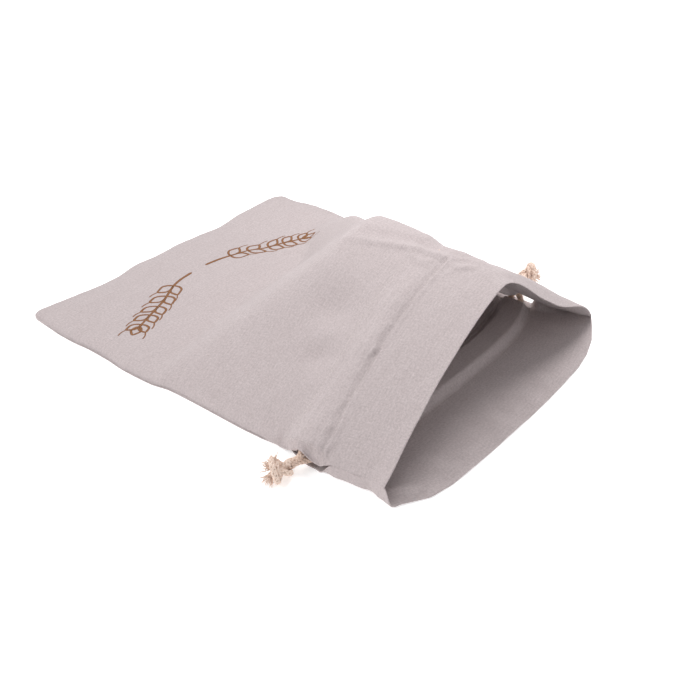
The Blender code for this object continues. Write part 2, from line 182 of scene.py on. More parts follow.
def smooth_rows(rows, column, at):
    """Reads one column of a table at the given places, on a smooth curve with no overshoot."""
    x = np.array([row[0] for row in rows])
    y = np.array([row[column] for row in rows])
    step = np.diff(x)
    rise = np.diff(y) / step
    slope = np.zeros(len(x))
    inner = rise[:-1] * rise[1:] > 0
    weight_a = 2 * step[1:] + step[:-1]
    weight_b = step[1:] + 2 * step[:-1]
    safe = np.where(inner, rise[:-1] * rise[1:], 1.0)
    mean = (weight_a + weight_b) * safe / (weight_a * rise[1:] + weight_b * rise[:-1] + (~inner))
    slope[1:-1] = np.where(inner, mean, 0.0)
    slope[0], slope[-1] = rise[0], rise[-1]
    at = np.clip(np.asarray(at, float), x[0], x[-1])
    i = np.clip(np.searchsorted(x, at) - 1, 0, len(x) - 2)
    h = step[i]
    t = (at - x[i]) / h
    return (y[i] * (1 + 2 * t) * (1 - t) ** 2 + y[i + 1] * t * t * (3 - 2 * t)
            + h * slope[i] * t * (1 - t) ** 2 - h * slope[i + 1] * t * t * (1 - t))


def smooth_step(value, low, high):
    t = np.clip((value - low) / (high - low), 0.0, 1.0)
    return t * t * (3 - 2 * t)


def smooth_min(values, rounding):
    lowest = np.minimum.reduce(values)
    total = sum(np.exp((lowest - value) / rounding) for value in values)
    return lowest - rounding * np.log(total)


def smooth_max(values, rounding):
    return -smooth_min([-value for value in values], rounding)


def run_along(line):
    """Distance from a line's first point to each of its points."""
    return np.concatenate([[0.0], np.cumsum(np.linalg.norm(np.diff(line, axis=0), axis=1))])


def points_at(line, run, at):
    """Points of a line, read at distances along it."""
    return np.stack([np.interp(at, run, column) for column in line.T], axis=1)


def even_points(line, count):
    """The line again as count + 1 points, evenly spaced along it."""
    run = run_along(line)
    return points_at(line, run, np.linspace(0.0, run[-1], count + 1))


def hump_height(along, across):
    """The upper cloth over the hollow: two side slopes, a flat crest and a rounded nose."""
    near_seam, far_seam = smooth_rows(SEAMS, 1, along), smooth_rows(SEAMS, 3, along)
    near_base = SLOPE_BASE + NEAR_BASE_RISE * smooth_step(along, NEAR_BASE_FROM, NEAR_BASE_TO)
    near = near_base + NEAR_SLOPE * (across - near_seam)
    foot_width = FAR_FOOT * smooth_step(along, *FAR_FOOT_GROWS) * (
        1 - smooth_step(along, *FAR_FOOT_FADES))
    flank = SLOPE_BASE + FAR_SLOPE * (far_seam - foot_width - across)
    foot = SLOPE_BASE + FAR_FOOT_SLOPE * (far_seam - across)
    far = smooth_max([flank, foot], FAR_FOOT_ROUNDING)
    shoulder = (SHOULDER_HEIGHT - SHOULDER_SLOPE * across
                + SHOULDER_RISE * (1 - smooth_step(along, *SHOULDER_STARTS)))
    crest = CREST_HEIGHT - CREST_DROP * along
    behind = np.maximum(CREST_END - along, 0.0)
    beside_near = np.maximum(CREST_ACROSS - across, 0.0)
    beside_far = np.maximum(across - CREST_ACROSS - CREST_WIDTH, 0.0)
    back_slope = NOSE_SLOPE + (NOSE_SLOPE_AT_FAR - NOSE_SLOPE) * smooth_step(across, *NOSE_EASES)
    nose = crest - np.sqrt((back_slope * behind) ** 2 + (NOSE_SLOPE_NEAR * beside_near) ** 2
                           + (NOSE_SLOPE_FAR * beside_far) ** 2)
    return smooth_min([near, far, shoulder, crest, nose], CREST_ROUNDING) - lip_drop(along, across)


def lip_drop(along, across):
    """How far the upper cloth droops along the far part of its mouth edge."""
    start = LIP_LINE + LIP_SKEW * across
    beside = smooth_step(across, *LIP_BEGINS) * (1 - smooth_step(across, *LIP_ENDS))
    return LIP_DROP * beside * smooth_step(along, start, start + LIP_REACH)


def free_height(along, across):
    """The upper cloth's top before its long edges are drawn to their seams."""
    near, far = smooth_rows(SEAMS, 1, along), smooth_rows(SEAMS, 3, along)
    part = np.clip((across - near) / (far - near), 0.0, 1.0)
    from_side = np.clip(4 * part * (1 - part), 0.0, 1.0) ** PUFF_SQUARENESS
    from_end = 1 - np.exp(-np.maximum(along, 0.0) / PUFF_REACH)
    flat = SEAM_TOP + PUFF * from_side * from_end
    return smooth_max([flat, hump_height(along, across)], TOE_ROUNDING)


def upper_height(along, across):
    """Height of the upper panel's top."""
    height = free_height(along, across)
    for seam, top, away in ((1, 2, 1.0), (3, 4, -1.0)):
        edge = smooth_rows(SEAMS, seam, along)
        error = free_height(along, edge) - smooth_rows(SEAMS, top, along)
        height = height - error * np.exp(-away * (across - edge) / EDGE_REACH)
    return height


def closed_end(across, near, far):
    """Where the closed end lies, with its rounded corners."""
    from_side = np.minimum(across - near, far - across)
    inside = np.clip(1 - from_side / CORNER_RADIUS, 0.0, 1.0)
    return smooth_rows(CLOSED_END, 1, across) + CORNER_RADIUS * (1 - np.sqrt(1 - inside ** 2))


def upper_mouth(across, height):
    """Where the upper panel's mouth edge lies at a given height."""
    return smooth_rows(UPPER_MOUTH, 1, across) - MOUTH_LEAN * height


def upper_section(row):
    """A fine line over the upper panel's top at one row, from the near seam to the far one."""
    part = np.linspace(0.0, 1.0, SECTION_SAMPLES)
    along = np.full(SECTION_SAMPLES, row)
    for _ in range(SETTLING_STEPS):
        near, far = smooth_rows(SEAMS, 1, along), smooth_rows(SEAMS, 3, along)
        across = near + (far - near) * part
        mouth = upper_mouth(across, 0.0)
        for _ in range(SETTLING_STEPS):
            mouth = upper_mouth(across, upper_height(mouth, across))
        start = closed_end(across, near, far)
        along = start + (mouth - start) * row / BAG_LENGTH
    return np.stack([along, across, upper_height(along, across)], axis=1)


def under_mouth(along, across, height, far):
    """Where the under panel's mouth edge lies; at the far seam it meets the upper panel's."""
    error = upper_mouth(far, smooth_rows(SEAMS, 4, along)) - smooth_rows(UNDER_MOUTH, 1, far)
    blend = np.exp((across - far) / MOUTH_BLEND)
    return smooth_rows(UNDER_MOUTH, 1, across) - MOUTH_LEAN * height + error * blend


def turned_up_edge(lift, samples):
    """Across and up, from the lifted near edge down to the table."""
    turn = np.linspace(math.pi / 2, 0.0, samples)
    across = np.concatenate([[0.0], TURN_UP_RADIUS * (1 - np.sin(turn))])
    up = np.concatenate([[lift], min(lift, TURN_UP_RADIUS) * (1 - np.cos(turn))])
    return np.stack([across, up], axis=1)


def under_section(row):
    """The same for the underside of the under panel."""
    flat = np.linspace(0.0, 1.0, UNDER_COLUMNS - TURN_UP_COLUMNS)
    along = np.full(UNDER_COLUMNS + 1, row)
    height = np.zeros(UNDER_COLUMNS + 1)
    for _ in range(SETTLING_STEPS):
        near = smooth_rows(SEAMS, 1, along) + smooth_rows(UNDER_TUCK, 1, along)
        far = smooth_rows(SEAMS, 3, along)
        lift = (smooth_rows(SEAMS, 2, along[0]) - SEAM_OVERLAP) * smooth_step(
            along[0], TURN_UP_START, TURN_UP_END)
        edge = turned_up_edge(lift, TURN_UP_SAMPLES)
        turned, height[:TURN_UP_COLUMNS] = even_points(edge, TURN_UP_COLUMNS - 1).T
        first = near[TURN_UP_COLUMNS:-1] + CHANNEL_SHORT
        rest = first + (far[TURN_UP_COLUMNS:-1] - CHANNEL_SHORT - first) * flat
        across = np.concatenate([near[:TURN_UP_COLUMNS] + turned, rest, far[-1:]])
        mouth = under_mouth(along, across, height, far)
        start = closed_end(across, near, far)
        along = start + (mouth - start) * row / BAG_LENGTH
    return np.stack([along, across, height], axis=1)


def inward_normals(grid, side):
    """Unit vectors at right angles to a grid of points, pointing into the bag."""
    normal = np.cross(np.gradient(grid, axis=0), np.gradient(grid, axis=1))
    return side * normal / np.linalg.norm(normal, axis=2, keepdims=True)


def part_grid(section):
    """The part's own grid of one panel, in the frame."""
    return np.array([section(row) for row in ROWS]) - (ORIGIN_FROM_END, 0.0, 0.0)


def lane_line(grid, inward, lane, first_open):
    """A cord's middle line along one lane of a channel, from the far side to the near side."""
    row = ROWS.index(lane)
    line = grid[row] + inward[row] * CORD_DEPTH
    return np.concatenate([line[:first_open - 1:-1], line[:1]])


def half_turn(start, end, outward, steps=7):
    """The cord's turn from one channel into the other, without its two ends."""
    middle, arm = (start + end) / 2, (start - end) / 2
    reach = TURN_FLATNESS * np.linalg.norm(arm)
    angles = np.linspace(0.0, math.pi, steps + 2)[1:-1]
    return [middle + arm * math.cos(t) + outward * reach * math.sin(t) for t in angles]


def to_knot(start, knot):
    """The cord from its channel's end to the knot's surface."""
    start, knot = np.array(start), np.array(knot)
    away = start - knot
    end = knot + away / np.linalg.norm(away) * (KNOT_RADIUS + KNOT_CLEARANCE)
    return [end, end + (start - end) * STRAIGHT_BEFORE_KNOT]


def cord_route(upper_lane, under_lane, knot, outward):
    """From the knot through the upper channel, round the other side, back through the under one."""
    if outward < 0:
        upper_lane, under_lane = upper_lane[::-1], under_lane[::-1]
    turn = half_turn(upper_lane[1], under_lane[1], np.array([0.0, outward, 0.0]))
    first, last = to_knot(upper_lane[-1], knot), to_knot(under_lane[-1], knot)
    return np.array(first + list(upper_lane[:0:-1]) + turn + list(under_lane[1:]) + last[::-1])


# ---------------- camera, floor and light
CAMERA_PLACE = (0.52426, -0.54925, 0.52680)
CAMERA_YAW = 0.735277
CAMERA_PITCH = 0.630758
CAMERA_ROLL = -0.041152
CAMERA_LENS = 55.68
WORLD_STRENGTH = 0.63
KEY_POWER = 7.1
TOP_POWER = 2.6
FLOOR_GLOW = 0.42
FLOOR_LEVEL = -0.0002


def add_camera():
    forward = Vector((-math.sin(CAMERA_YAW) * math.cos(CAMERA_PITCH),
                      math.cos(CAMERA_YAW) * math.cos(CAMERA_PITCH), -math.sin(CAMERA_PITCH)))
    level = Vector((math.cos(CAMERA_YAW), math.sin(CAMERA_YAW), 0.0))
    above = level.cross(forward)
    right = math.cos(CAMERA_ROLL) * level + math.sin(CAMERA_ROLL) * above
    up = -math.sin(CAMERA_ROLL) * level + math.cos(CAMERA_ROLL) * above
    data = bpy.data.cameras.new("camera")
    data.lens = CAMERA_LENS
    data.sensor_width = 36.0
    data.clip_start = 0.01
    camera = bpy.data.objects.new("camera", data)
    bpy.context.scene.collection.objects.link(camera)
    matrix = Matrix((right, up, -forward)).transposed().to_4x4()
    matrix.translation = Vector(CAMERA_PLACE)
    camera.matrix_world = matrix
    bpy.context.scene.camera = camera


def add_area_light(name, place, target, size, power):
    data = bpy.data.lights.new(name, "AREA")
    data.shape = "DISK"
    data.size = size
    data.energy = power
    light = bpy.data.objects.new(name, data)
    light.location = place
    light.rotation_euler = (Vector(target) - Vector(place)).to_track_quat("-Z", "Y").to_euler()
    bpy.context.scene.collection.objects.link(light)


def add_studio():
    bpy.ops.mesh.primitive_plane_add(size=8.0, location=(0.0, 0.0, FLOOR_LEVEL))
    floor = bpy.context.object
    floor.name = "floor"
    material = bpy.data.materials.new("floor")
    material.use_nodes = True
    shader = material.node_tree.nodes["Principled BSDF"]
    shader.inputs["Base Color"].default_value = (0.93, 0.93, 0.93, 1.0)
    shader.inputs["Roughness"].default_value = 0.9
    shader.inputs["Emission Color"].default_value = (1.0, 1.0, 1.0, 1.0)
    shader.inputs["Emission Strength"].default_value = FLOOR_GLOW
    floor.data.materials.append(material)
    world = bpy.data.worlds.new("studio")
    bpy.context.scene.world = world
    world.use_nodes = True
    background = world.node_tree.nodes["Background"]
    background.inputs["Color"].default_value = (0.985, 0.99, 1.0, 1.0)
    background.inputs["Strength"].default_value = WORLD_STRENGTH
    add_area_light("key", (-0.62, -0.88, 0.80), (0.0, 0.0, 0.0), 0.45, KEY_POWER)
    add_area_light("top", (0.02, 0.33, 0.53), (0.04, 0.05, 0.05), 0.30, TOP_POWER)
    bpy.context.scene.view_settings.view_transform = "Standard"


# ---------------- materials
class Nodes:
    """A node tree written as sums."""

    def __init__(self, name):
        self.material = bpy.data.materials.new(name)
        self.material.use_nodes = True
        self.tree = self.material.node_tree
        self.shader = self.tree.nodes["Principled BSDF"]

    def new(self, kind, **values):
        node = self.tree.nodes.new(kind)
        for key, value in values.items():
            setattr(node, key, value)
        return node

    def feed(self, socket, value):
        if isinstance(value, bpy.types.NodeSocket):
            self.tree.links.new(value, socket)
        else:
            socket.default_value = value

    def fed(self, kind, values, **settings):
        """A new node with values for its first sockets. Returns its first output."""
        node = self.new(kind, **settings)
        for socket, value in zip(node.inputs, values):
            self.feed(socket, value)
        return node.outputs[0]

    def math(self, operation, a, b=0.0, c=0.0):
        return self.fed("ShaderNodeMath", (a, b, c), operation=operation)

    def vector(self, x, y, z=0.0):
        return self.fed("ShaderNodeCombineXYZ", (x, y, z))

    def span(self, value, low, high, to_low=0.0, to_high=1.0):
        return self.fed("ShaderNodeMapRange", (value, low, high, to_low, to_high), clamp=True)

    def noise(self, vector, scale, detail=2.0, roughness=0.5):
        node = self.new("ShaderNodeTexNoise")
        self.feed(node.inputs["Vector"], vector)
        node.inputs["Scale"].default_value = scale
        node.inputs["Detail"].default_value = detail
        node.inputs["Roughness"].default_value = roughness
        return node.outputs["Fac"]

    def streaks(self, x, y, x_scale, y_scale, shift, detail, roughness):
        """Noise with its own scale in each direction of the cloth."""
        x, y = self.math("MULTIPLY", x, x_scale), self.math("MULTIPLY", y, y_scale)
        return self.noise(self.vector(x, y, shift), 1.0, detail, roughness)

    def mix(self, factor, a, b):
        node = self.new("ShaderNodeMix", data_type="RGBA")
        self.feed(node.inputs["Factor"], factor)
        for socket, value in zip(node.inputs[6:8], (a, b)):
            self.feed(socket, value if isinstance(value, bpy.types.NodeSocket) else (*value, 1.0))
        return node.outputs[2]

    def bump(self, height, distance, strength):
        node = self.new("ShaderNodeBump")
        node.inputs["Strength"].default_value = strength
        node.inputs["Distance"].default_value = distance
        self.feed(node.inputs["Height"], height)
        return node.outputs["Normal"]

    def uv(self, layer):
        split = self.new("ShaderNodeSeparateXYZ")
        self.feed(split.inputs[0], self.new("ShaderNodeUVMap", uv_map=layer).outputs[0])
        return split.outputs[0], split.outputs[1]

    def finish(self, color, roughness, sheen, normal):
        self.feed(self.shader.inputs["Base Color"], color)
        self.shader.inputs["Roughness"].default_value = roughness
        self.shader.inputs["Specular IOR Level"].default_value = 0.25
        self.shader.inputs["Sheen Weight"].default_value = sheen
        self.shader.inputs["Sheen Roughness"].default_value = 0.5
        self.feed(self.shader.inputs["Normal"], normal)
        return self.material


def shade(color, share):
    return tuple(min(1.0, share * part) for part in color)


# The weave. Noise scales are per metre of cloth.
THREAD = 0.00062
ALONG_A_THREAD = 75.0
DRIFT = 0.0011
DRIFT_SCALE = 140.0
CROSSING = 0.45
THREAD_RELIEF = 0.8
GRAIN_SCALE = 600.0
PATCH_SCALE = 32.0
SPOT_SCALES = (900.0, 170.0)
BLOT_SCALE = 420.0
FIBRE_SCALE = 2600.0
TWIST_SCALE = 3200.0


def weave(nodes):
    """Height of a plain weave, and how light its threads are, both 0 to 1."""
    x, y = nodes.uv("cloth")
    x = nodes.math("MULTIPLY_ADD", nodes.noise(nodes.vector(x, y), DRIFT_SCALE), DRIFT, x)
    y = nodes.math("MULTIPLY_ADD", nodes.noise(nodes.vector(y, x, 0.3), DRIFT_SCALE), DRIFT, y)
    sx, sy = (nodes.math("SINE", nodes.math("MULTIPLY", way, math.pi / THREAD)) for way in (x, y))
    over = nodes.math("MULTIPLY", nodes.math("MULTIPLY", sx, sy), CROSSING)
    warp, weft = (
        nodes.math("MULTIPLY", nodes.math("ABSOLUTE", way), nodes.math(sign, 1 - CROSSING, over))
        for way, sign in ((sx, "ADD"), (sy, "SUBTRACT")))
    height = nodes.math("MAXIMUM", warp, weft)
    on_top = nodes.span(nodes.math("SUBTRACT", warp, weft), -0.12, 0.12)
    warp_tone = nodes.streaks(x, y, 1.0 / THREAD, ALONG_A_THREAD, 0.0, 3.0, 0.6)
    weft_tone = nodes.streaks(x, y, ALONG_A_THREAD, 1.0 / THREAD, 7.3, 3.0, 0.6)
    mixed = nodes.new("ShaderNodeMix", data_type="FLOAT")
    for k, value in ((0, on_top), (2, weft_tone), (3, warp_tone)):
        nodes.feed(mixed.inputs[k], value)
    tone = mixed.outputs[0]
    return x, y, height, tone, nodes.math("MULTIPLY_ADD", tone, THREAD_RELIEF, height)


def linen(name, dark, light, fleck):
    nodes = Nodes(name)
    x, y, height, tone, relief = weave(nodes)
    color = nodes.mix(nodes.span(tone, 0.27, 0.73), dark, light)
    grainy = nodes.noise(nodes.vector(x, y, 4.0), GRAIN_SCALE, 3.0, 0.7)
    color = nodes.mix(nodes.span(grainy, 0.38, 0.66, 0.0, 0.46), color, shade(dark, 0.62))
    patches = nodes.noise(nodes.vector(x, y, 2.0), PATCH_SCALE, 3.0, 0.6)
    color = nodes.mix(nodes.span(patches, 0.30, 0.72, 0.0, 0.16), color, dark)
    # Painted shade: the cloth's colour darkens where the weave dips between its threads.
    painted_gap_shade = nodes.span(height, 0.05, 0.45, 0.30, 0.0)
    color = nodes.mix(painted_gap_shade, color, shade(dark, 0.62))
    for a, b in ((x, y), (y, x)):
        spots = nodes.streaks(a, b, *SPOT_SCALES, 3.1, 2.0, 0.5)
        color = nodes.mix(nodes.span(spots, 0.735, 0.79, 0.0, 0.55), color, fleck)
        color = nodes.mix(nodes.span(spots, 0.27, 0.22, 0.0, 0.35), color, shade(light, 1.12))
    return nodes.finish(color, 0.92, 0.12, nodes.bump(relief, 0.00022, 0.75))


def cotton(name, dark, light):
    """Soft spun cotton: fine fibres in softly darker patches."""
    nodes = Nodes(name)
    place = nodes.new("ShaderNodeTexCoord").outputs["Object"]
    fibres = nodes.noise(place, FIBRE_SCALE, 3.0, 0.65)
    patches = nodes.noise(place, FIBRE_SCALE / 10)
    color = nodes.mix(nodes.span(fibres, 0.30, 0.70), dark, light)
    color = nodes.mix(nodes.span(patches, 0.35, 0.75, 0.0, 0.30), color, dark)
    return nodes.finish(color, 0.95, 0.25, nodes.bump(fibres, 0.00035, 0.8))


def sewing_thread(name, color):
    nodes = Nodes(name)
    place = nodes.new("ShaderNodeTexCoord").outputs["Object"]
    twist = nodes.noise(place, TWIST_SCALE)
    color = nodes.mix(nodes.span(twist, 0.3, 0.7), shade(color, 0.86), color)
    return nodes.finish(color, 0.75, 0.10, nodes.bump(twist, 0.0001, 0.5))


def ink(name, pale, strong):
    """Brown ink soaked into the weave, stronger at a stroke's edges, with painted shade darkening
    it where a thread dips.
    """
    nodes = Nodes(name)
    x, y, height, _, relief = weave(nodes)
    across, _ = nodes.uv("stroke")
    from_middle = nodes.math("ABSOLUTE", nodes.math("SUBTRACT", across, 0.5))
    depth = nodes.span(from_middle, 0.10, 0.42, 0.35, 0.95)
    blots = nodes.noise(nodes.vector(x, y, 5.0), BLOT_SCALE, 3.0, 0.6)
    depth = nodes.math("MULTIPLY", depth, nodes.span(blots, 0.25, 0.60, 0.55, 1.0))
    color = nodes.mix(depth, pale, strong)
    # Painted shade: darker where a thread dips between its neighbours.
    color = nodes.mix(nodes.span(height, 0.05, 0.5, 0.35, 0.0), color, shade(strong, 0.6))
    return nodes.finish(color, 0.85, 0.05, nodes.bump(relief, 0.0002, 0.7))


# ---------------- mesh helpers
def add_mesh(name, points, faces, material, uv=None, uv_names=("cloth",)):
    """A smooth mesh that rides on the bag. uv is a list of arrays, one row for each point."""
    mesh = bpy.data.meshes.new(name)
    mesh.from_pydata(points, [], faces)
    corners = np.zeros(len(mesh.loops), dtype=np.int32)
    mesh.loops.foreach_get("vertex_index", corners)
    for layer_name, values in zip(uv_names, uv or []):
        layer = mesh.uv_layers.new(name=layer_name)
        spread = np.ascontiguousarray(values[corners], dtype=np.float32)
        layer.data.foreach_set("uv", spread.ravel())
    mesh.shade_smooth()
    mesh.materials.append(material)
    piece = bpy.data.objects.new(name, mesh)
    bpy.context.scene.collection.objects.link(piece)
    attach(piece, "root")
    return piece


class Heap:
    """Many small closed shapes gathered into one mesh."""

    def __init__(self):
        self.points, self.faces, self.count = [], [], 0

    def add(self, points, faces):
        self.points.append(np.asarray(points))
        self.faces += [tuple(int(n) + self.count for n in face) for face in faces]
        self.count += len(points)

    def mesh(self, name, material, slot):
        return add_mesh(name, np.concatenate(self.points).tolist(), self.faces, material)


def unit(vectors):
    return vectors / np.maximum(np.linalg.norm(vectors, axis=-1, keepdims=True), 1e-12)


def point_normals(points, quads):
    """Smooth normals of a mesh of quads."""
    a, b, c, d = (points[quads[:, k]] for k in range(4))
    face = np.cross(c - a, d - b)
    total = np.zeros_like(points)
    for k in range(4):
        np.add.at(total, quads[:, k], face)
    return total / np.maximum(np.linalg.norm(total, axis=1, keepdims=True), 1e-12)


def rim_walls(quads, count):
    """Quads from a sheet's open edges to those of its copy, whose points come count later."""
    edges = np.concatenate([quads[:, [k, (k + 1) % 4]] for k in range(4)])
    keys = np.sort(edges, axis=1)
    _, index, times = np.unique(keys[:, 0] * (count + 1) + keys[:, 1], return_index=True,
                                return_counts=True)
    rim = edges[index[times == 1]]
    return np.stack([rim[:, 1], rim[:, 0], rim[:, 0] + count, rim[:, 1] + count], axis=1)


def waves(u, v, seed, shortest, longest, count=14):
    """Smooth unevenness between about -1 and 1."""
    chance = np.random.default_rng(seed)
    total = 0.0
    for _ in range(count):
        length = shortest * (longest / shortest) ** chance.random()
        turn = chance.random() * 2 * math.pi
        phase = chance.random() * 2 * math.pi
        way = u * math.cos(turn) + v * math.sin(turn)
        total = total + np.sin(2 * math.pi * way / length + phase)
    return total / math.sqrt(count)


def ridge(distance, height, width):
    """A rounded ridge, or a groove where its height is negative."""
    return height * np.exp(-(distance / width) ** 2)


# ---------------- the cloth's fine relief
FABRIC = 0.0005
LAYER_GAP = 0.0001
FLOOR_CLEARANCE = 0.00002
ALLOWANCE = [0.0004, 0.0022, 0.0045, 0.0070, 0.0095]
HEM_END = 0.3035
FINE_COLUMNS = 140
EDGE_BAND = 0.012
HEM_TIGHT = FABRIC + 0.00004
HEM_LOOSE = FABRIC + 0.00035

# Creases of the upper panel: height, width, then points (along, across).
CREASES = [
    (0.0016, 0.0045, [(0.150, -0.136), (0.155, -0.077), (0.146, -0.034)]),
    (0.0024, 0.0030, [(0.196, 0.010), (0.2102, 0.0174), (0.2419, 0.0250), (0.2714, 0.0336),
                      (0.2968, 0.0352), (0.3149, 0.0452), (0.3316, 0.0489), (0.350, 0.053)]),
    (0.0014, 0.0026, [(0.262, 0.030), (0.285, 0.0225), (0.298, 0.031)]),
    (0.0014, 0.0026, [(0.300, 0.0345), (0.312, 0.0315), (0.328, 0.039)]),
    (0.0010, 0.0026, [(0.3066, 0.0173), (0.3145, 0.030), (0.333, 0.046)]),
    (-0.0024, 0.0055, [(0.215, 0.030), (0.242, 0.036), (0.271, 0.0445), (0.298, 0.048),
                       (0.318, 0.058), (0.340, 0.062)]),
    (0.0010, 0.0050, [(0.078, 0.040), (0.108, 0.072), (0.110, 0.125)]),
    (0.0010, 0.0022, [(0.2850, -0.1250), (0.2862, -0.1340), (0.2893, -0.1430)]),
    (0.0007, 0.0016, [(0.2880, -0.1372), (0.3000, -0.1372), (0.3120, -0.1368), (0.3190, -0.1362)]),
]

# Soft dents and swells of the upper panel: along, across, height, reach along, reach across.
DENTS = [
    (0.244, -0.040, -0.0054, 0.024, 0.019), (0.262, -0.074, -0.0042, 0.015, 0.012),
    (0.214, -0.052, 0.0016, 0.020, 0.020), (0.286, -0.020, 0.0016, 0.014, 0.018),
    (0.285, -0.060, 0.0010, 0.010, 0.018), (0.060, -0.060, -0.0010, 0.040, 0.030),
    (0.100, 0.020, 0.0010, 0.030, 0.040),
]

# The channel's swell before its row of stitches at the mouth side: across, height.
SWELLS = [(-0.150, 0.0008), (-0.136, 0.0018), (-0.124, 0.0030), (-0.113, 0.0022), (-0.100, 0.0014),
          (-0.086, 0.0015), (-0.074, 0.0022), (-0.062, 0.0031), (-0.048, 0.0029), (-0.036, 0.0018),
          (-0.020, 0.0013), (0.010, 0.0009), (0.050, 0.0007), (0.100, 0.0010), (0.140, 0.0006)]
SWELL_FALL = 0.0056
SWELL_RISE = 0.0230
SEAM_BEND = 0.0026
SEAM_BENDS = (-0.100, -0.122)

# The upper panel's near edge hangs a little beside the cords: row, drop.
LIP = [(0.2935, 0.0), (0.2980, 0.0020), (0.3020, 0.0046), (0.3060, 0.0064), (0.3110, 0.0066),
       (0.3165, 0.0060), (0.3190, 0.0028), (0.3245, 0.0028), (0.3275, 0.0054), (0.3310, 0.0080),
       (0.3345, 0.0100), (0.3385, 0.0096), (0.3430, 0.0052), (0.3500, 0.0)]
LIP_WIDTH = 0.0095
LIP_INWARD = 0.30

# The under panel's far edge rises to meet the upper panel between the channel and the mouth.
JOIN = [(0.3395, 0.0), (0.3430, 0.0096), (0.3500, 0.0049), (0.3600, 0.0017), (0.3700, 0.0011),
        (0.4000, 0.0011)]
JOIN_WIDTH = 0.0090

# Ridges and grooves beside a row of stitches: height and width, and how far some lie from it.
START_GROOVE = (-0.00030, 0.0010)
START_RIDGE, START_RIDGE_PLACE = (0.00035, 0.0020), 0.0030
SEAM_GROOVE = (-0.00050, 0.0009)
HEADING_HEIGHT, HEADING_WIDTH, HEADING_PLACE = 0.00055, 0.0017, 0.0026
LANE_RIDGE = (0.00025, 0.0024)
EDGE_GROOVE, EDGE_GROOVE_PLACE = (-0.00030, 0.0022), ALLOWANCE[-1] + 0.001
EDGE_RIPPLE, EDGE_RIPPLE_REACH = 0.00028, 0.009
# The cloth is never quite flat: height, seed, shortest and longest wave.
UNEVENNESS = [(0.00035, 11, 0.030, 0.110), (0.00010, 12, 0.010, 0.024)]

# The under panel's soft ridges near its mouth: height, width, points (along, across).
UNDER_CREASES = [
    (0.0034, 0.0050, [(0.362, -0.1335), (0.372, -0.1260), (0.383, -0.1160), (0.3925, -0.1075)]),
    (0.0012, 0.0060, [(0.352, -0.100), (0.375, -0.085), (0.398, -0.078)]),
    (0.0009, 0.0070, [(0.345, -0.040), (0.372, -0.020), (0.402, -0.010)]),
    (0.0010, 0.0060, [(0.350, 0.030), (0.378, 0.044), (0.400, 0.060)]),
]
UNDER_CREASES_BEGIN = (0.335, 0.36)
UNDER_SWELL = 0.00035
UNDER_SWELL_BEGINS = (0.335, 0.385)


def line_distance(x, y, points):
    """Distance to a polyline, and how far along it the nearest place is, 0 to 1."""
    best = np.full(x.shape, 1e9)
    place = np.zeros(x.shape)
    points = np.array(points)
    lengths = np.linalg.norm(np.diff(points, axis=0), axis=1)
    run = np.concatenate([[0.0], np.cumsum(lengths)]) / lengths.sum()
    for k in range(len(points) - 1):
        way = points[k + 1] - points[k]
        t = np.clip(((x - points[k, 0]) * way[0] + (y - points[k, 1]) * way[1]) / (way @ way), 0, 1)
        far = np.hypot(x - points[k, 0] - t * way[0], y - points[k, 1] - t * way[1])
        closer = far < best
        best = np.where(closer, far, best)
        place = np.where(closer, run[k] + t * (run[k + 1] - run[k]), place)
    return best, place


def creases(table, along, across, ends):
    """Height of all creases of a table. ends is how near to its own ends a crease still fades."""
    height = 0.0
    for rise, width, points in table:
        far, place = line_distance(along, across, points)
        height = height + ridge(far, rise, width) * np.sin(math.pi * np.clip(place, ends, 1 - ends))
    return height


def seam_row(across):
    """The mouth side row of stitches: it bends toward the mouth near the cord's opening."""
    return CHANNEL_END + SEAM_BEND * smooth_step(-across, -SEAM_BENDS[0], -SEAM_BENDS[1])


def stitch_relief(cloth_along, across):
    """The sewn channel: a groove along each row of stitches and an uneven swell between them."""
    flat = 0 * across
    before = seam_row(across) - cloth_along
    height = ridge(cloth_along - CHANNEL_START, *START_GROOVE)
    height = height + ridge(cloth_along - CHANNEL_START - START_RIDGE_PLACE, *START_RIDGE)
    uneven = 1 + np.exp(-np.abs(before) / 0.0065) * (
        0.30 * waves(across, flat, 5, 0.006, 0.020, 9)
        + 0.16 * waves(across, cloth_along, 6, 0.004, 0.008, 9))
    swell = np.interp(across, *np.array(SWELLS).T) * uneven.clip(0.2, 1.8)
    fall = SWELL_FALL * (1 + 0.30 * waves(across, flat, 7, 0.008, 0.024, 7)).clip(0.5, 1.6)
    up = smooth_step(cloth_along, CHANNEL_START + 0.0015, CHANNEL_START + SWELL_RISE)
    height = height + swell * up * smooth_step(before / fall, 0.0, 1.0)
    height = height + ridge(before, *SEAM_GROOVE)
    heading = HEADING_HEIGHT * (1 + 0.7 * waves(across, flat, 8, 0.006, 0.016, 9)).clip(0.1, 2.2)
    height = height + ridge(before + HEADING_PLACE, heading, HEADING_WIDTH)
    for lane in (LANE_NEAR_BODY, LANE_NEAR_MOUTH):
        height = height + ridge(cloth_along - lane, *LANE_RIDGE)
    return height


def upper_relief(cloth_along, along, across, from_near, from_far):
    """Everything finer than the part's shape, outward from the upper panel's outer face."""
    height = stitch_relief(cloth_along, across) + creases(CREASES, along, across, 0.06)
    for mid_along, mid_across, rise, reach_along, reach_across in DENTS:
        height = height + rise * np.exp(-((along - mid_along) / reach_along) ** 2
                                        - ((across - mid_across) / reach_across) ** 2)
    for rise, seed, shortest, longest in UNEVENNESS:
        height = height + rise * waves(along, across, seed, shortest, longest)
    for from_side, seed in ((from_near, 21), (from_far, 22)):
        ripple = waves(along, 0 * along, seed, 0.009, 0.026, 9)
        height = height + EDGE_RIPPLE * ripple * np.exp(-from_side / EDGE_RIPPLE_REACH)
        height = height + ridge(from_side - EDGE_GROOVE_PLACE, *EDGE_GROOVE)
    return height


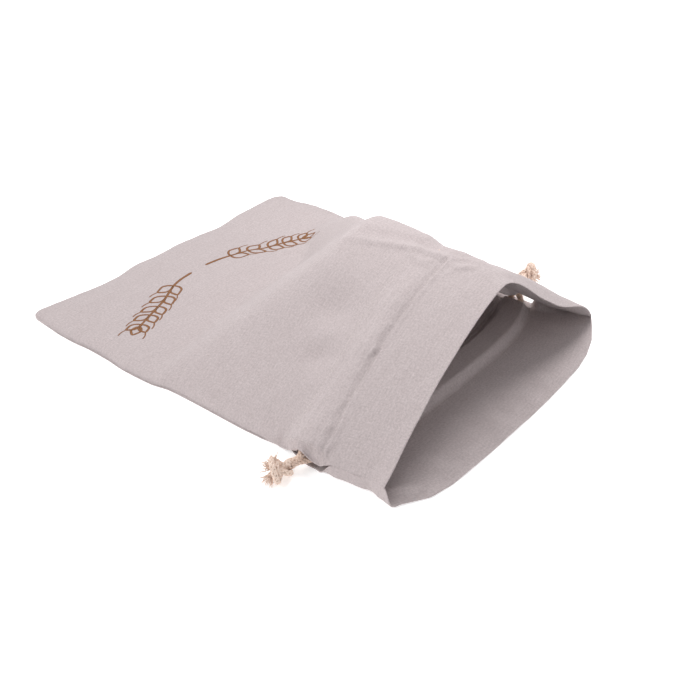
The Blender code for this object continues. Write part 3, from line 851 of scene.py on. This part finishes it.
def under_relief(cloth_along, along, across, from_near, from_far):
    """How far the under panel lifts off the table, as its outward relief: downward is negative."""
    height = creases(UNDER_CREASES, along, across, 0.12)
    height = height * smooth_step(cloth_along, *UNDER_CREASES_BEGIN)
    swell = UNDER_SWELL * (1 + waves(along, across, 31, 0.018, 0.060)).clip(0, 3)
    return -(height + swell * smooth_step(cloth_along, *UNDER_SWELL_BEGINS))


# ---------------- the two panels
FINE_ROWS = np.concatenate([
    [0.0], ALLOWANCE, np.arange(0.0120, 0.2900, 0.0024), np.arange(0.2900, 0.3990, 0.00125),
    [0.3990, 0.3996, BAG_LENGTH]])
FINE_EDGE_SAMPLES = 20
FINE_UNDER_SAMPLES = 160
# Angles round an edge of cloth that is folded over.
FOLD_ANGLES = (0.0, 0.8, math.pi / 2, 2.34)


def cloth_columns(length):
    """Distances across one row's section, from its near edge."""
    side = np.array([0.0] + ALLOWANCE)
    middle = np.linspace(EDGE_BAND, length - EDGE_BAND, FINE_COLUMNS - 2 * len(side))
    return np.concatenate([side, middle, length - side[::-1]])


def resample(line):
    run = run_along(line)
    at = cloth_columns(run[-1])
    return points_at(line, run, at), at


def share_along(line):
    """Distance travelled along a line, as a share of its whole length."""
    run = run_along(line)
    return run / run[-1]


def fine_under_section(row):
    """The under panel's underside at one row, with its turned-up edge drawn finely."""
    coarse = under_section(row)
    edge = turned_up_edge(coarse[0, 2], FINE_EDGE_SAMPLES) + (coarse[0, 1], 0.0)
    rest = np.linspace(edge[-1, 0] + 0.001, coarse[-1, 1], FINE_UNDER_SAMPLES)
    line = np.concatenate([edge, np.stack([rest, 0 * rest], axis=1)])
    along = np.interp(share_along(line), share_along(coarse[:, 1:]), coarse[:, 0])
    return np.column_stack([along, line])


def turned_edge(gap):
    """Steps over a turned-in edge and round its fold: index, depth, push outwards, cloth length."""
    steps = [(k, gap, 0.0, -ALLOWANCE[k - 1]) for k in range(len(ALLOWANCE), 0, -1)]
    return steps + [(0, gap / 2 * (1 + math.cos(t)), gap / 2 * math.sin(t), 0.0)
                    for t in FOLD_ANGLES]


class Panel:
    """One cloth panel: its outer face as a grid, with a hem at the mouth and turned-in edges."""

    def __init__(self, section, side, relief, lip=None, join=None):
        lines = [resample(section(row)) for row in FINE_ROWS]
        base = np.array([line[0] for line in lines])
        self.across_run = np.array([line[1] for line in lines])
        self.length = self.across_run[:, -1:]
        from_far = self.length - self.across_run
        along = base[:, :, 0].copy()
        base[:, :, 0] -= ORIGIN_FROM_END
        inward = inward_normals(base, side)
        rise = relief(FINE_ROWS[:, None], along, base[:, :, 1], self.across_run, from_far)
        self.outer = base - inward * rise[:, :, None]
        if lip:
            hang = np.interp(FINE_ROWS, *np.array(lip).T)[:, None] * (
                1 - smooth_step(self.across_run, 0.0, LIP_WIDTH))
            self.outer[:, :, 2] -= hang
            self.outer[:, :, 1] += LIP_INWARD * hang
        if join:
            self.outer[:, :, 2] += np.interp(FINE_ROWS, *np.array(join).T)[:, None] * (
                1 - smooth_step(from_far, 0.0, JOIN_WIDTH))
        self.outer[:, :, 2] = np.maximum(self.outer[:, :, 2], FLOOR_CLEARANCE)
        self.inward = inward_normals(self.outer, side)
        self.build()

    def hem_depth(self):
        """How far the turned-in hem lies below the outer layer, at each grid point."""
        row = FINE_ROWS[:, None]
        eased = smooth_step(row, CHANNEL_END, CHANNEL_END + 0.012) * (
            1 - smooth_step(row, 0.388, 0.3995))
        heading = HEM_TIGHT + (HEM_LOOSE - HEM_TIGHT) * eased
        rise = smooth_step(row, CHANNEL_START + 0.0005, CHANNEL_START + 0.0075) * (
            1 - smooth_step(row, CHANNEL_END - 0.0075, CHANNEL_END - 0.0005))
        return heading + (CHANNEL_HEIGHT + FABRIC - heading) * rise + 0 * self.across_run

    def build(self):
        """The cloth's sheet, from the turned-in closed end over the outer face into the hem."""
        last = len(FINE_ROWS) - 1
        hem_start = int(np.searchsorted(FINE_ROWS, HEM_END))
        edge = turned_edge(FABRIC + LAYER_GAP)
        # Each step ends with the shares of the hem's depth that its depth and its push have.
        path = [(*step, 0.0, 0.0) for step in edge]
        outer_from = len(path)
        path += [(i, 0.0, 0.0, row, 0.0, 0.0) for i, row in enumerate(FINE_ROWS)]
        outer_to = len(path) - 1
        path += [(last, 0.0, 0.0, BAG_LENGTH, 0.5 * (1 - math.cos(t)), 0.5 * math.sin(t))
                 for t in FOLD_ANGLES[1:]]
        path += [(i, 0.0, 0.0, 2 * BAG_LENGTH - FINE_ROWS[i], 1.0, 0.0)
                 for i in range(last, hem_start - 1, -1)]
        # The same across the panel: the near edge, the outer face and the far edge.
        sides = edge + [(j, 0.0, 0.0, 0.0) for j in range(FINE_COLUMNS)]
        sides += [(FINE_COLUMNS - 1 - j, depth, push, 0.0) for j, depth, push, _ in edge[::-1]]
        left, right, wide = len(edge), len(edge) + FINE_COLUMNS - 1, len(sides)

        i, depth, push, cloth, hem_depth, hem_push = (np.array(part) for part in zip(*path))
        j, side_depth, side_push, _ = (np.array(part) for part in zip(*sides))
        cells, column = np.ix_(i, j), np.arange(wide)
        hem = self.hem_depth()[cells]
        depth = FABRIC / 2 + (depth[:, None] + hem_depth[:, None] * hem) + side_depth
        push = push[:, None] + hem_push[:, None] * hem
        end_out = -unit(self.outer[1] - self.outer[0])
        mouth_out = unit(self.outer[-1] - self.outer[-2])
        near_out = -unit(self.outer[:, 1] - self.outer[:, 0])
        far_out = unit(self.outer[:, -1] - self.outer[:, -2])
        beyond = np.where((np.arange(len(path)) < outer_from)[:, None, None], end_out[j],
                          mouth_out[j])
        outwards = np.where((column <= left)[:, None], near_out[i][:, None], far_out[i][:, None])
        points = (self.outer[cells] + self.inward[cells] * depth[..., None]
                  + beyond * push[..., None] + outwards * side_push[:, None])

        middle = (len(FINE_ROWS) // 2, FINE_COLUMNS // 2)
        run, length = self.across_run[cells], self.length[i]
        fold = np.where(column < left, -run, run)
        fold = np.where(column > right, 2 * length - run, fold)
        uv = np.stack([fold - length / 2 + self.across_run[middle],
                       np.broadcast_to(cloth[:, None], fold.shape)], axis=2)

        number = np.arange(len(path) * wide).reshape(len(path), wide)
        quads = []
        for k in range(len(path) - 1):
            at = 0.5 * (FINE_ROWS[i[k]] + FINE_ROWS[i[k + 1]])
            if k < outer_from or k >= outer_to:
                first, stop = left, right
                if k >= outer_to and CHANNEL_START < at < CHANNEL_END:
                    run = self.across_run[i[k]]
                    inner = np.nonzero((run > CHANNEL_SHORT) & (run < run[-1] - CHANNEL_SHORT))[0]
                    first, stop = left + inner[0], left + inner[-1]
            elif at > CHANNEL_END:
                first, stop = left - 3, right + 3
            else:
                first, stop = 0, wide - 1
            here, after = number[k], number[k + 1]
            quads.append(np.stack([here[first:stop], after[first:stop],
                                   after[first + 1:stop + 1], here[first + 1:stop + 1]], axis=1))
        quads = np.concatenate(quads)
        points, uv = points.reshape(-1, 3), uv.reshape(-1, 2)
        normals = point_normals(points, quads)
        centre = number[(outer_from + outer_to) // 2, wide // 2]
        if normals[centre] @ self.inward[middle] > 0:
            quads, normals = quads[:, ::-1], -normals
        self.mesh_data = thicken(points, normals, quads, uv)

    def place(self, row, run, depth=0.0):
        """Points and normals on the outer face at given rows and distances from the near edge."""
        row, run = np.broadcast_arrays(np.asarray(row, float), np.asarray(run, float))
        i = np.clip(np.searchsorted(FINE_ROWS, row) - 1, 0, len(FINE_ROWS) - 2)
        t = ((row - FINE_ROWS[i]) / (FINE_ROWS[i + 1] - FINE_ROWS[i]))[..., None]
        spots, insides = [], []
        for k in (i, i + 1):
            table = self.across_run[k]
            j = np.clip((table < run[..., None]).sum(axis=-1) - 1, 0, table.shape[-1] - 2)
            low = np.take_along_axis(table, j[..., None], axis=-1)[..., 0]
            high = np.take_along_axis(table, j[..., None] + 1, axis=-1)[..., 0]
            s = ((run - low) / (high - low))[..., None]
            spots.append(self.outer[k, j] * (1 - s) + self.outer[k, j + 1] * s)
            insides.append(self.inward[k, j] * (1 - s) + self.inward[k, j + 1] * s)
        spot = spots[0] * (1 - t) + spots[1] * t
        inward = unit(insides[0] * (1 - t) + insides[1] * t)
        return spot + inward * depth, -inward


def thicken(points, normals, quads, uv):
    """A closed body round a sheet of quads."""
    used, flat = np.unique(quads, return_inverse=True)
    quads = flat.reshape(quads.shape)
    points, normals, uv = points[used], normals[used], uv[used]
    count = len(points)
    both = np.concatenate([points + normals * FABRIC / 2, points - normals * FABRIC / 2])
    faces = np.concatenate([quads, quads[:, ::-1] + count, rim_walls(quads, count)])
    return both, faces, np.concatenate([uv, uv])


# ---------------- stitches
STITCH_LENGTH = 0.0024
STITCH_PITCH = 0.0031
THREAD_RADIUS = 0.00020
SLIT_STITCHES = 0.0068
SEAM_ENDS = 0.0030
THREAD_LIFT = 0.00002
# A stitch along its length: share of the length, width, and lift in thread radii.
STITCH_SHAPE = [(0.0, 0.25, -1.5), (0.10, 0.75, -0.5), (0.30, 1.0, 0.15), (0.5, 1.0, 0.35),
                (0.70, 1.0, 0.15), (0.90, 0.75, -0.5), (1.0, 0.25, -1.5)]


def capsules(starts, ends, normals, sides=6):
    """Short threads that dive at both ends, as one mesh."""
    points, faces = [], []
    for start, end, normal in zip(starts, ends, normals):
        way = end - start
        across = unit(np.cross(way, normal))
        base = len(points)
        for part, width, lift in STITCH_SHAPE:
            middle = start + way * part + normal * lift * THREAD_RADIUS
            for k in range(sides):
                turn = 2 * math.pi * k / sides
                points.append(middle + THREAD_RADIUS * width * (
                    math.cos(turn) * across + math.sin(turn) * normal))
        for ring in range(len(STITCH_SHAPE) - 1):
            for k in range(sides):
                a = base + ring * sides + k
                b = base + ring * sides + (k + 1) % sides
                faces.append((a, b, b + sides, a + sides))
        faces.append(tuple(base + k for k in range(sides))[::-1])
        faces.append(tuple(base + (len(STITCH_SHAPE) - 1) * sides + k for k in range(sides)))
    return points, faces


def stitch_line(panel, rows, runs, depth, outside, seed):
    """Stitches along a line given by its rows and distances from the near edge."""
    chance = np.random.default_rng(seed)
    length = run_along(panel.place(rows, runs, depth)[0])
    count = int(length[-1] / STITCH_PITCH)
    begin = (np.arange(count) + 0.1) * STITCH_PITCH
    begin = begin + chance.normal(0, 0.00006, count)
    at_row = [np.interp(begin + shift, length, rows) for shift in (0.0, STITCH_LENGTH)]
    at_run = [np.interp(begin + shift, length, runs) for shift in (0.0, STITCH_LENGTH)]
    wander = chance.normal(0, 0.00008, count)
    starts, normals = panel.place(at_row[0] + wander, at_run[0], depth)
    ends, _ = panel.place(at_row[1] + wander, at_run[1], depth)
    return starts, ends, normals if outside else -normals


def channel_stitches(panel, seed):
    """Both rows across the panel, outside and inside, and the short rows at the cord openings."""
    lines = []
    for index, row in enumerate((CHANNEL_START, CHANNEL_END)):
        k = int(np.argmin(np.abs(FINE_ROWS - row)))
        runs = np.linspace(SEAM_ENDS, panel.length[k, 0] - SEAM_ENDS, 240)
        rows = np.full(240, row)
        if index:
            rows = seam_row(np.interp(runs, panel.across_run[k], panel.outer[k, :, 1]))
        lines.append((rows, runs, -THREAD_LIFT, True, seed + index))
        lines.append((rows, runs, FABRIC * 2 + 3 * THREAD_LIFT, False, seed + 4 + index))
    k = int(np.argmin(np.abs(FINE_ROWS - 0.305)))
    rows = np.linspace(CHANNEL_START + 0.0015, CHANNEL_END - 0.0010, 60)
    for offset in (SLIT_STITCHES, panel.length[k, 0] - SLIT_STITCHES):
        lines.append((rows, np.full(60, offset), -THREAD_LIFT, True, seed + 10))
    return lines


def sew(panel, name, material, lines):
    heap = Heap()
    for line in lines:
        heap.add(*capsules(*stitch_line(panel, *line)))
    return heap.mesh(name, material, "linen")


# ---------------- printed motif
STROKE = 0.0030
INK_LIFT = 0.00007
GRAIN_LINE = 0.0021
AWN_LINE = 0.0012
INK_DEPTH = 0.00004
INK_STEP = 0.0009
# Two ears of grain: the points (row, run) of each stem.
STEMS = [[(0.0600, 0.1530), (0.0660, 0.1810), (0.0790, 0.2130), (0.0930, 0.2420)],
         [(0.0600, 0.1370), (0.0660, 0.1090), (0.0790, 0.0770), (0.0930, 0.0480)]]
STEM_SAMPLES = 60
GRAIN_PAIRS = 5
FIRST_PAIR, LAST_PAIR = 0.32, 0.97
GRAIN_LENGTH = 0.0165
GRAIN_WIDTH = 0.0052
AWN = 0.010


def ink_strokes(panel, strokes, material):
    """Strokes are lists of (row, run, width) points on the upper panel, drawn as thin ink."""
    parts = np.array((0.0, 0.2, 0.5, 0.8, 1.0))
    rows, runs, stroke_uv, faces, count = [], [], [], [], 0
    for stroke in strokes:
        stroke = np.array(stroke)
        length = run_along(stroke[:, :2])
        at = np.linspace(0, length[-1], max(4, int(length[-1] / INK_STEP)))
        row, run, width = points_at(stroke, length, at).T
        way = unit(np.gradient(np.stack([row, run], axis=1), axis=0))
        taper = np.minimum(1.0, 0.35 + 0.65 * np.minimum(at, at[-1] - at) / (0.6 * width))
        shift = (parts - 0.5) * width[:, None] * taper[:, None]
        rows.append((row[:, None] - way[:, 1:] * shift).ravel())
        runs.append((run[:, None] + way[:, :1] * shift).ravel())
        stroke_uv.append(np.stack(np.broadcast_arrays(parts, at[:, None]), axis=2).reshape(-1, 2))
        number = count + np.arange(shift.size).reshape(shift.shape)
        faces.append(np.stack([number[:-1, :-1], number[:-1, 1:], number[1:, 1:],
                               number[1:, :-1]], axis=2).reshape(-1, 4))
        count += shift.size
    rows, runs, faces = np.concatenate(rows), np.concatenate(runs), np.concatenate(faces)
    spots, normals = panel.place(rows, runs, -INK_LIFT)
    lower, _ = panel.place(rows, runs, INK_DEPTH)
    every = np.concatenate([faces, faces[:, ::-1] + count, rim_walls(faces, count)])
    a, b, c, d = faces[0]
    if np.cross(spots[c] - spots[a], spots[d] - spots[b]) @ normals[a] < 0:
        every = every[:, ::-1]
    return add_mesh("printed_sprigs", np.concatenate([spots, lower]).tolist(), every.tolist(),
                    material, [np.concatenate([np.stack([runs, rows], axis=1)] * 2),
                                        np.concatenate(stroke_uv * 2)], ("cloth", "stroke"))


def curve_points(points, count):
    """A smooth curve through a few points, by Catmull-Rom."""
    points = np.array(points, float)
    ends = np.concatenate([[2 * points[0] - points[1]], points, [2 * points[-1] - points[-2]]])
    at = np.linspace(0, len(points) - 1, count)
    i = np.minimum(at.astype(int), len(points) - 2)
    t = (at - i)[:, None]
    a, b, c, d = ends[i], ends[i + 1], ends[i + 2], ends[i + 3]
    return 0.5 * (2 * b + (c - a) * t + (2 * a - 5 * b + 4 * c - d) * t ** 2
                  + (3 * b - a - 3 * c + d) * t ** 3)


def grain(foot, direction, share):
    """The outline of one grain, from its foot. share is its share of a whole grain's size."""
    side = np.array([-direction[1], direction[0]])
    outline = [(0.0, 0.0), (0.25, 0.72), (0.55, 1.0), (0.82, 0.55), (1.0, 0.0), (0.82, -0.55),
               (0.55, -1.0), (0.25, -0.72), (0.0, 0.0)]
    line = curve_points([foot + direction * GRAIN_LENGTH * share * p
                         + side * GRAIN_WIDTH * share * q for p, q in outline], 40)
    return [(x, y, GRAIN_LINE) for x, y in line]


def sprig(stem):
    """One ear of grain along a stem of (row, run) points."""
    line = curve_points(stem, STEM_SAMPLES)
    last = STEM_SAMPLES - 1
    strokes = [[(x, y, STROKE * (1.0 - 0.35 * k / last)) for k, (x, y) in enumerate(line)]]
    for n in range(GRAIN_PAIRS):
        k = int((FIRST_PAIR + (LAST_PAIR - FIRST_PAIR) * n / (GRAIN_PAIRS - 1)) * last)
        way = unit(line[min(last, k + 1)] - line[k - 1])
        share = 1.0 - 0.25 * n / GRAIN_PAIRS
        for side in (np.array([way[1], -way[0]]), np.array([-way[1], way[0]])):
            lean = unit(way * 0.80 + side * 0.62)
            foot = line[k] + side * 0.0006
            strokes.append(grain(foot, lean, share))
            tip = foot + lean * GRAIN_LENGTH * share
            hair = curve_points([tip, tip + way * AWN * 0.5 + side * AWN * 0.22,
                                 tip + way * AWN + side * AWN * 0.26], 16)
            strokes.append([(x, y, AWN_LINE) for x, y in hair])
    strokes.append(grain(line[-1], unit(line[-1] - line[-3]), 0.8))
    return strokes


# ---------------- braided cord
CORD_RADIUS = CORD_DIAMETER / 2
BRAID_PITCH = 0.0150
STRANDS = 4
STRAND_STEP = 0.00062
# Sizes in a braid, as shares of its radius.
STRAND_WIDE, STRAND_THICK = 0.37, 0.30
STRAND_LEVEL, STRAND_SWING = 0.70, 0.10
CORE = 0.62
TIGHTENS_OVER = 0.010
# How the near cord's two ends move nearer to each other where they leave the bag.
UPPER_PINCH = (0.0044, 0.0, -0.0020)
UNDER_PINCH = (-0.0050, 0.0, 0.0010)


def frames_along(line):
    """Unit tangents and two unit side vectors that don't twist, along a line of points."""
    tangent = unit(np.gradient(line, axis=0))
    side = np.zeros_like(line)
    start = np.cross(tangent[0], (0.0, 0.0, 1.0))
    if np.linalg.norm(start) < 0.1:
        start = np.cross(tangent[0], (0.0, 1.0, 0.0))
    side[0] = start / np.linalg.norm(start)
    for k in range(1, len(line)):
        moved = side[k - 1] - tangent[k] * (side[k - 1] @ tangent[k])
        side[k] = moved / np.linalg.norm(moved)
    return tangent, side, np.cross(tangent, side)


def tube(line, wide, thick, outward, sides=6):
    """A tube whose cross-section is an ellipse, thick along outward. Points and faces."""
    tangent = unit(np.gradient(line, axis=0))
    outward = unit(outward - tangent * (outward * tangent).sum(axis=1, keepdims=True))
    across = np.cross(tangent, outward)
    turn = 2 * math.pi * np.arange(sides) / sides
    wide, thick = (np.broadcast_to(value, len(line)) for value in (wide, thick))
    points = (line[:, None] + across[:, None] * (wide[:, None] * np.cos(turn))[..., None]
              + outward[:, None] * (thick[:, None] * np.sin(turn))[..., None])
    rings = np.arange(len(line) * sides).reshape(len(line), sides)
    a, b = rings[:-1], np.roll(rings[:-1], -1, axis=1)
    c, d = np.roll(rings[1:], -1, axis=1), rings[1:]
    quads = np.stack([a, b, c, d], axis=-1).reshape(-1, 4)
    faces = [tuple(q) for q in quads] + [tuple(rings[0][::-1]), tuple(rings[-1])]
    return points.reshape(-1, 3), faces


def braid(heap, line, radius, seed, first_radius=None):
    """A round braid of two sets of strands, over and under each other, round a soft core."""
    run = run_along(line)
    at = np.linspace(0.0, run[-1], max(3, int(run[-1] / STRAND_STEP)))
    line, run = points_at(line, run, at), at
    _, side, other = frames_along(line)
    chance = np.random.default_rng(seed)
    size = np.interp(run, (0.0, TIGHTENS_OVER), (first_radius or radius, radius))
    swell = size * (1 + 0.03 * waves(run, 0 * run, seed, 0.012, 0.05, 6))
    heap.add(*tube(line[::3], CORE * swell[::3], CORE * swell[::3], side[::3], 8))
    rate = 2 * math.pi / BRAID_PITCH
    weaving = np.cos(STRANDS * rate * run)
    for direction in (1.0, -1.0):
        for n in range(STRANDS):
            angle = (2 * math.pi * n / STRANDS + direction * rate * run
                     + chance.normal(0, 0.03))
            out = np.cos(angle)[:, None] * side + np.sin(angle)[:, None] * other
            level = swell * (STRAND_LEVEL + STRAND_SWING * direction * weaving)
            strand = line + out * level[:, None]
            heap.add(*tube(strand, STRAND_WIDE * swell, STRAND_THICK * swell, out))


def fibres(heap, spots, outs, length, radius, seed):
    """Loose fine hairs that stand off a surface."""
    chance = np.random.default_rng(seed)
    width = radius * np.linspace(1.0, 0.4, 5)
    for spot, out in zip(spots, outs):
        drift = unit(out + chance.normal(0, 0.8, 3))
        bend = chance.normal(0, 0.5, 3)
        reach = length * (0.4 + 0.9 * chance.random())
        part = np.linspace(0, 1, 5)[:, None]
        hair = spot + drift * reach * part + bend * reach * part ** 2 * 0.5
        hair[:, 2] = np.maximum(hair[:, 2], 0.0003)
        heap.add(*tube(hair, width, width, np.broadcast_to((0.13, 0.31, 0.94), hair.shape), 3))


def fuzz(heap, line, picks, chance, radius, length, seed):
    """Loose hairs round a cord, at the picked points of its line."""
    _, first, second = frames_along(line)
    angle = chance.random(len(picks)) * 2 * math.pi
    outs = np.cos(angle)[:, None] * first[picks] + np.sin(angle)[:, None] * second[picks]
    fibres(heap, line[picks] + outs * radius * 0.95, outs, length, 0.00005, seed)


def tuft(heap, root, direction, spread, length, count, seed):
    """The frayed end of a cord: its yarns fan out and curl a little."""
    chance = np.random.default_rng(seed)
    direction = unit(np.asarray(direction, float))
    side = unit(np.cross(direction, (0.0, 0.0, 1.0)))
    other = np.cross(direction, side)
    for n in range(count):
        angle = 2 * math.pi * n / count + chance.normal(0, 0.3)
        off = math.sqrt(chance.random())
        out = math.cos(angle) * side + math.sin(angle) * other
        start = root + out * off * CORD_RADIUS * 0.72
        way = unit(direction + out * off * spread + chance.normal(0, 0.12, 3))
        reach = length * (0.55 + 0.55 * chance.random())
        part = np.linspace(0, 1, 9)[:, None]
        curl = chance.normal(0, 0.22, 3)
        kink = np.sin(part * math.pi * (1.5 + chance.random())) * chance.normal(0, 0.05, 3)
        hair = start - direction * 0.0015 + way * reach * part + (curl * part ** 2 + kink) * reach
        hair[:, 2] = np.maximum(hair[:, 2], 0.0006)
        width = 0.00042 * (0.7 + 0.5 * chance.random()) * np.array(
            [1, 1, 1, 1, 0.95, 0.9, 0.8, 0.65, 0.4])
        heap.add(*tube(hair, width, width, np.broadcast_to(other, hair.shape), 5))
        tips = hair[[4, 5, 6, 7, 8, 8]]
        fibres(heap, tips, np.broadcast_to(way, tips.shape), 0.0022, 0.00006, seed * 100 + n)


# An overhand knot of two cords, tail end last: away from the bag, along, up, then half the step
# from one cord to the other in the same three directions. Millimetres.
KNOT_PATH = [
    (-5.2, -0.2, 0.4, 0.5, 1.7, 1.4), (-1.6, -1.5, -2.1, 1.0, 1.6, 1.0),
    (1.2, 0.7, -4.2, -0.1, 0.8, 2.0), (4.3, 3.3, -3.5, -1.2, -0.2, 1.8),
    (6.6, 4.7, -0.3, -1.9, -0.7, 0.7), (7.0, 4.0, 3.8, -2.0, -0.5, -0.5),
    (5.7, 1.3, 6.7, -1.6, 0.3, -1.4), (3.1, -1.9, 7.0, -0.8, 1.3, -1.6),
    (0.5, -4.4, 4.9, -0.3, 1.7, -1.3), (-2.1, -6.7, 2.3, -0.1, 1.9, -1.1),
    (-4.8, -7.1, -0.8, 0.8, 2.0, 0.0), (-6.7, -4.8, -3.7, 1.4, 1.2, 1.1),
    (-6.9, -0.8, -4.8, 1.5, -0.3, 1.5), (-5.4, 2.9, -3.7, 0.9, -1.6, 1.1),
    (-2.4, 4.5, -1.2, -0.1, -2.1, 0.2), (0.6, 3.1, 1.2, -1.2, -1.6, -0.7),
    (3.2, -0.2, 0.4, -0.9, -1.0, -1.4), (6.2, -2.6, -1.2, 0.2, -1.2, -1.8),
]
# Frayed ends: root and direction (away, along, up), spread, length, yarns.
KNOT_TUFTS = [
    ((7.0, -2.6, -3.4), (0.75, -0.10, -0.42), 0.75, 7.0, 30),
    ((3.6, -6.8, 1.2), (0.50, -0.85, 0.20), 0.80, 5.5, 26),
    ((0.2, -5.6, 6.0), (-0.05, -0.62, 0.72), 0.85, 5.0, 18),
]
KNOT_CORD_RADIUS = 0.00215
KNOT_HAIRS = 260
MILLIMETRE = 0.001
STEPS_BETWEEN = 9


def knot(name, place, side, hand, entries, material, seed):
    """Two cords tied in one overhand knot, their ends frayed. side is the way out of the bag."""
    heap = Heap()
    table = np.array(KNOT_PATH) * MILLIMETRE

    def turned(local):
        return np.asarray(local)[..., [1, 0, 2]] * (hand, side, 1.0)

    for index, sign in enumerate((1.0, -1.0)):
        inner = place + turned(table[:, :3] + sign * table[:, 3:])
        course = np.concatenate([entries[index], inner])
        line = curve_points(course, STEPS_BETWEEN * (len(course) - 1) + 1)[STEPS_BETWEEN:]
        line[:, 2] = np.maximum(line[:, 2], KNOT_CORD_RADIUS + 0.0002)
        braid(heap, line, KNOT_CORD_RADIUS, seed + index, CORD_RADIUS)
        chance = np.random.default_rng(seed + 40 + index)
        picks = chance.integers(4, len(line) - 1, KNOT_HAIRS)
        fuzz(heap, line, picks, chance, KNOT_CORD_RADIUS, 0.0016, seed + 60 + index)
    for index, (root, way, spread, length, count) in enumerate(KNOT_TUFTS):
        tuft(heap, place + turned(np.array(root) * MILLIMETRE), turned(way), spread,
             length * MILLIMETRE, count, seed + 10 + index)
    return heap.mesh(name, material, "cotton_knot")


def drawcord(name, route, material, seed):
    """A braid along a smooth curve through the route. Returns its piece and the curve."""
    heap = Heap()
    line = curve_points(route, len(route) * 8)
    braid(heap, line, CORD_RADIUS, seed)
    chance = np.random.default_rng(seed + 5)
    last = len(line)
    picks = np.concatenate([chance.integers(0, 20, 60), chance.integers(last - 20, last, 60)])
    fuzz(heap, line, picks, chance, CORD_RADIUS, 0.0012, seed + 6)
    return heap.mesh(name, material, "cotton_cord"), line


def pinched(route):
    """The cord's two ends moved nearer to each other where they leave the bag."""
    for k, share in enumerate((0.3, 0.9, 1.0, 0.4)):
        route[k] += share * np.array(UPPER_PINCH)
        route[-1 - k] += share * np.array(UNDER_PINCH)
    return route


def cord_ends(line):
    """Two points of each end of a cord's line, outer one last."""
    return line[[6, 0]], line[[-7, -1]]


# ---------------- the bag
def main():
    add_camera()

    cord_paint = cotton("cotton_cord_look", (0.64, 0.450, 0.350), (0.92, 0.745, 0.640))
    # The knot's cotton is the cord's, painted lighter to offset the shade among its loops and
    # tufts: painted light.
    lightened_knot_paint = cotton("cotton_knot_lightened_look", (0.70, 0.510, 0.405), (0.96, 0.815, 0.725))
    upper = part_grid(lambda row: even_points(upper_section(row), UPPER_COLUMNS))
    under = part_grid(under_section)
    upper_in, under_in = inward_normals(upper, -1.0), inward_normals(under, 1.0)
    near_route, far_route = (
        cord_route(lane_line(upper, upper_in, upper_lane, 1),
                   lane_line(under, under_in, under_lane, TURN_UP_COLUMNS), place, outward)
        for upper_lane, under_lane, place, outward in (
            (LANE_NEAR_BODY, LANE_NEAR_MOUTH, NEAR_KNOT, 1.0),
            (LANE_NEAR_MOUTH, LANE_NEAR_BODY, FAR_KNOT, -1.0)))
    near_cord, near_line = drawcord("braid_near", pinched(near_route), cord_paint, 100)
    far_cord, far_line = drawcord("braid_far", far_route, cord_paint, 200)
    near_knot = knot("tied_near", NEAR_KNOT, -1.0, 1.0, cord_ends(near_line), lightened_knot_paint, 300)
    far_knot = knot("tied_far", FAR_KNOT, 1.0, -1.0, cord_ends(far_line), lightened_knot_paint, 400)
    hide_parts("knot_near")
    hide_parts("knot_far")
    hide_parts("drawcord_near")
    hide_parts("drawcord_far")

    linen_paint = linen("linen_look", (0.472, 0.402, 0.399), (0.655, 0.577, 0.578),
                        (0.30, 0.20, 0.15))
    thread_paint = sewing_thread("thread_look", (0.66, 0.59, 0.575))
    ink_paint = ink("ink_look", (0.370, 0.175, 0.080), (0.125, 0.050, 0.018))

    front = Panel(upper_section, -1.0, upper_relief, lip=LIP)
    back = Panel(fine_under_section, 1.0, under_relief, join=JOIN)
    front_cloth, back_cloth = (
        add_mesh(name, points.tolist(), faces.tolist(), linen_paint, [uv])
        for name, slot, (points, faces, uv) in (
            ("front_cloth", "linen", front.mesh_data),
            ("back_cloth", "under_linen", back.mesh_data)))
    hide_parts("front_panel")
    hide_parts("back_panel")
    sew(front, "front_stitches", thread_paint, channel_stitches(front, 500))
    sew(back, "back_stitches", thread_paint, channel_stitches(back, 600)[:4])
    sprigs = ink_strokes(front, [stroke for stem in STEMS for stroke in sprig(stem)], ink_paint)

    add_studio()


main()
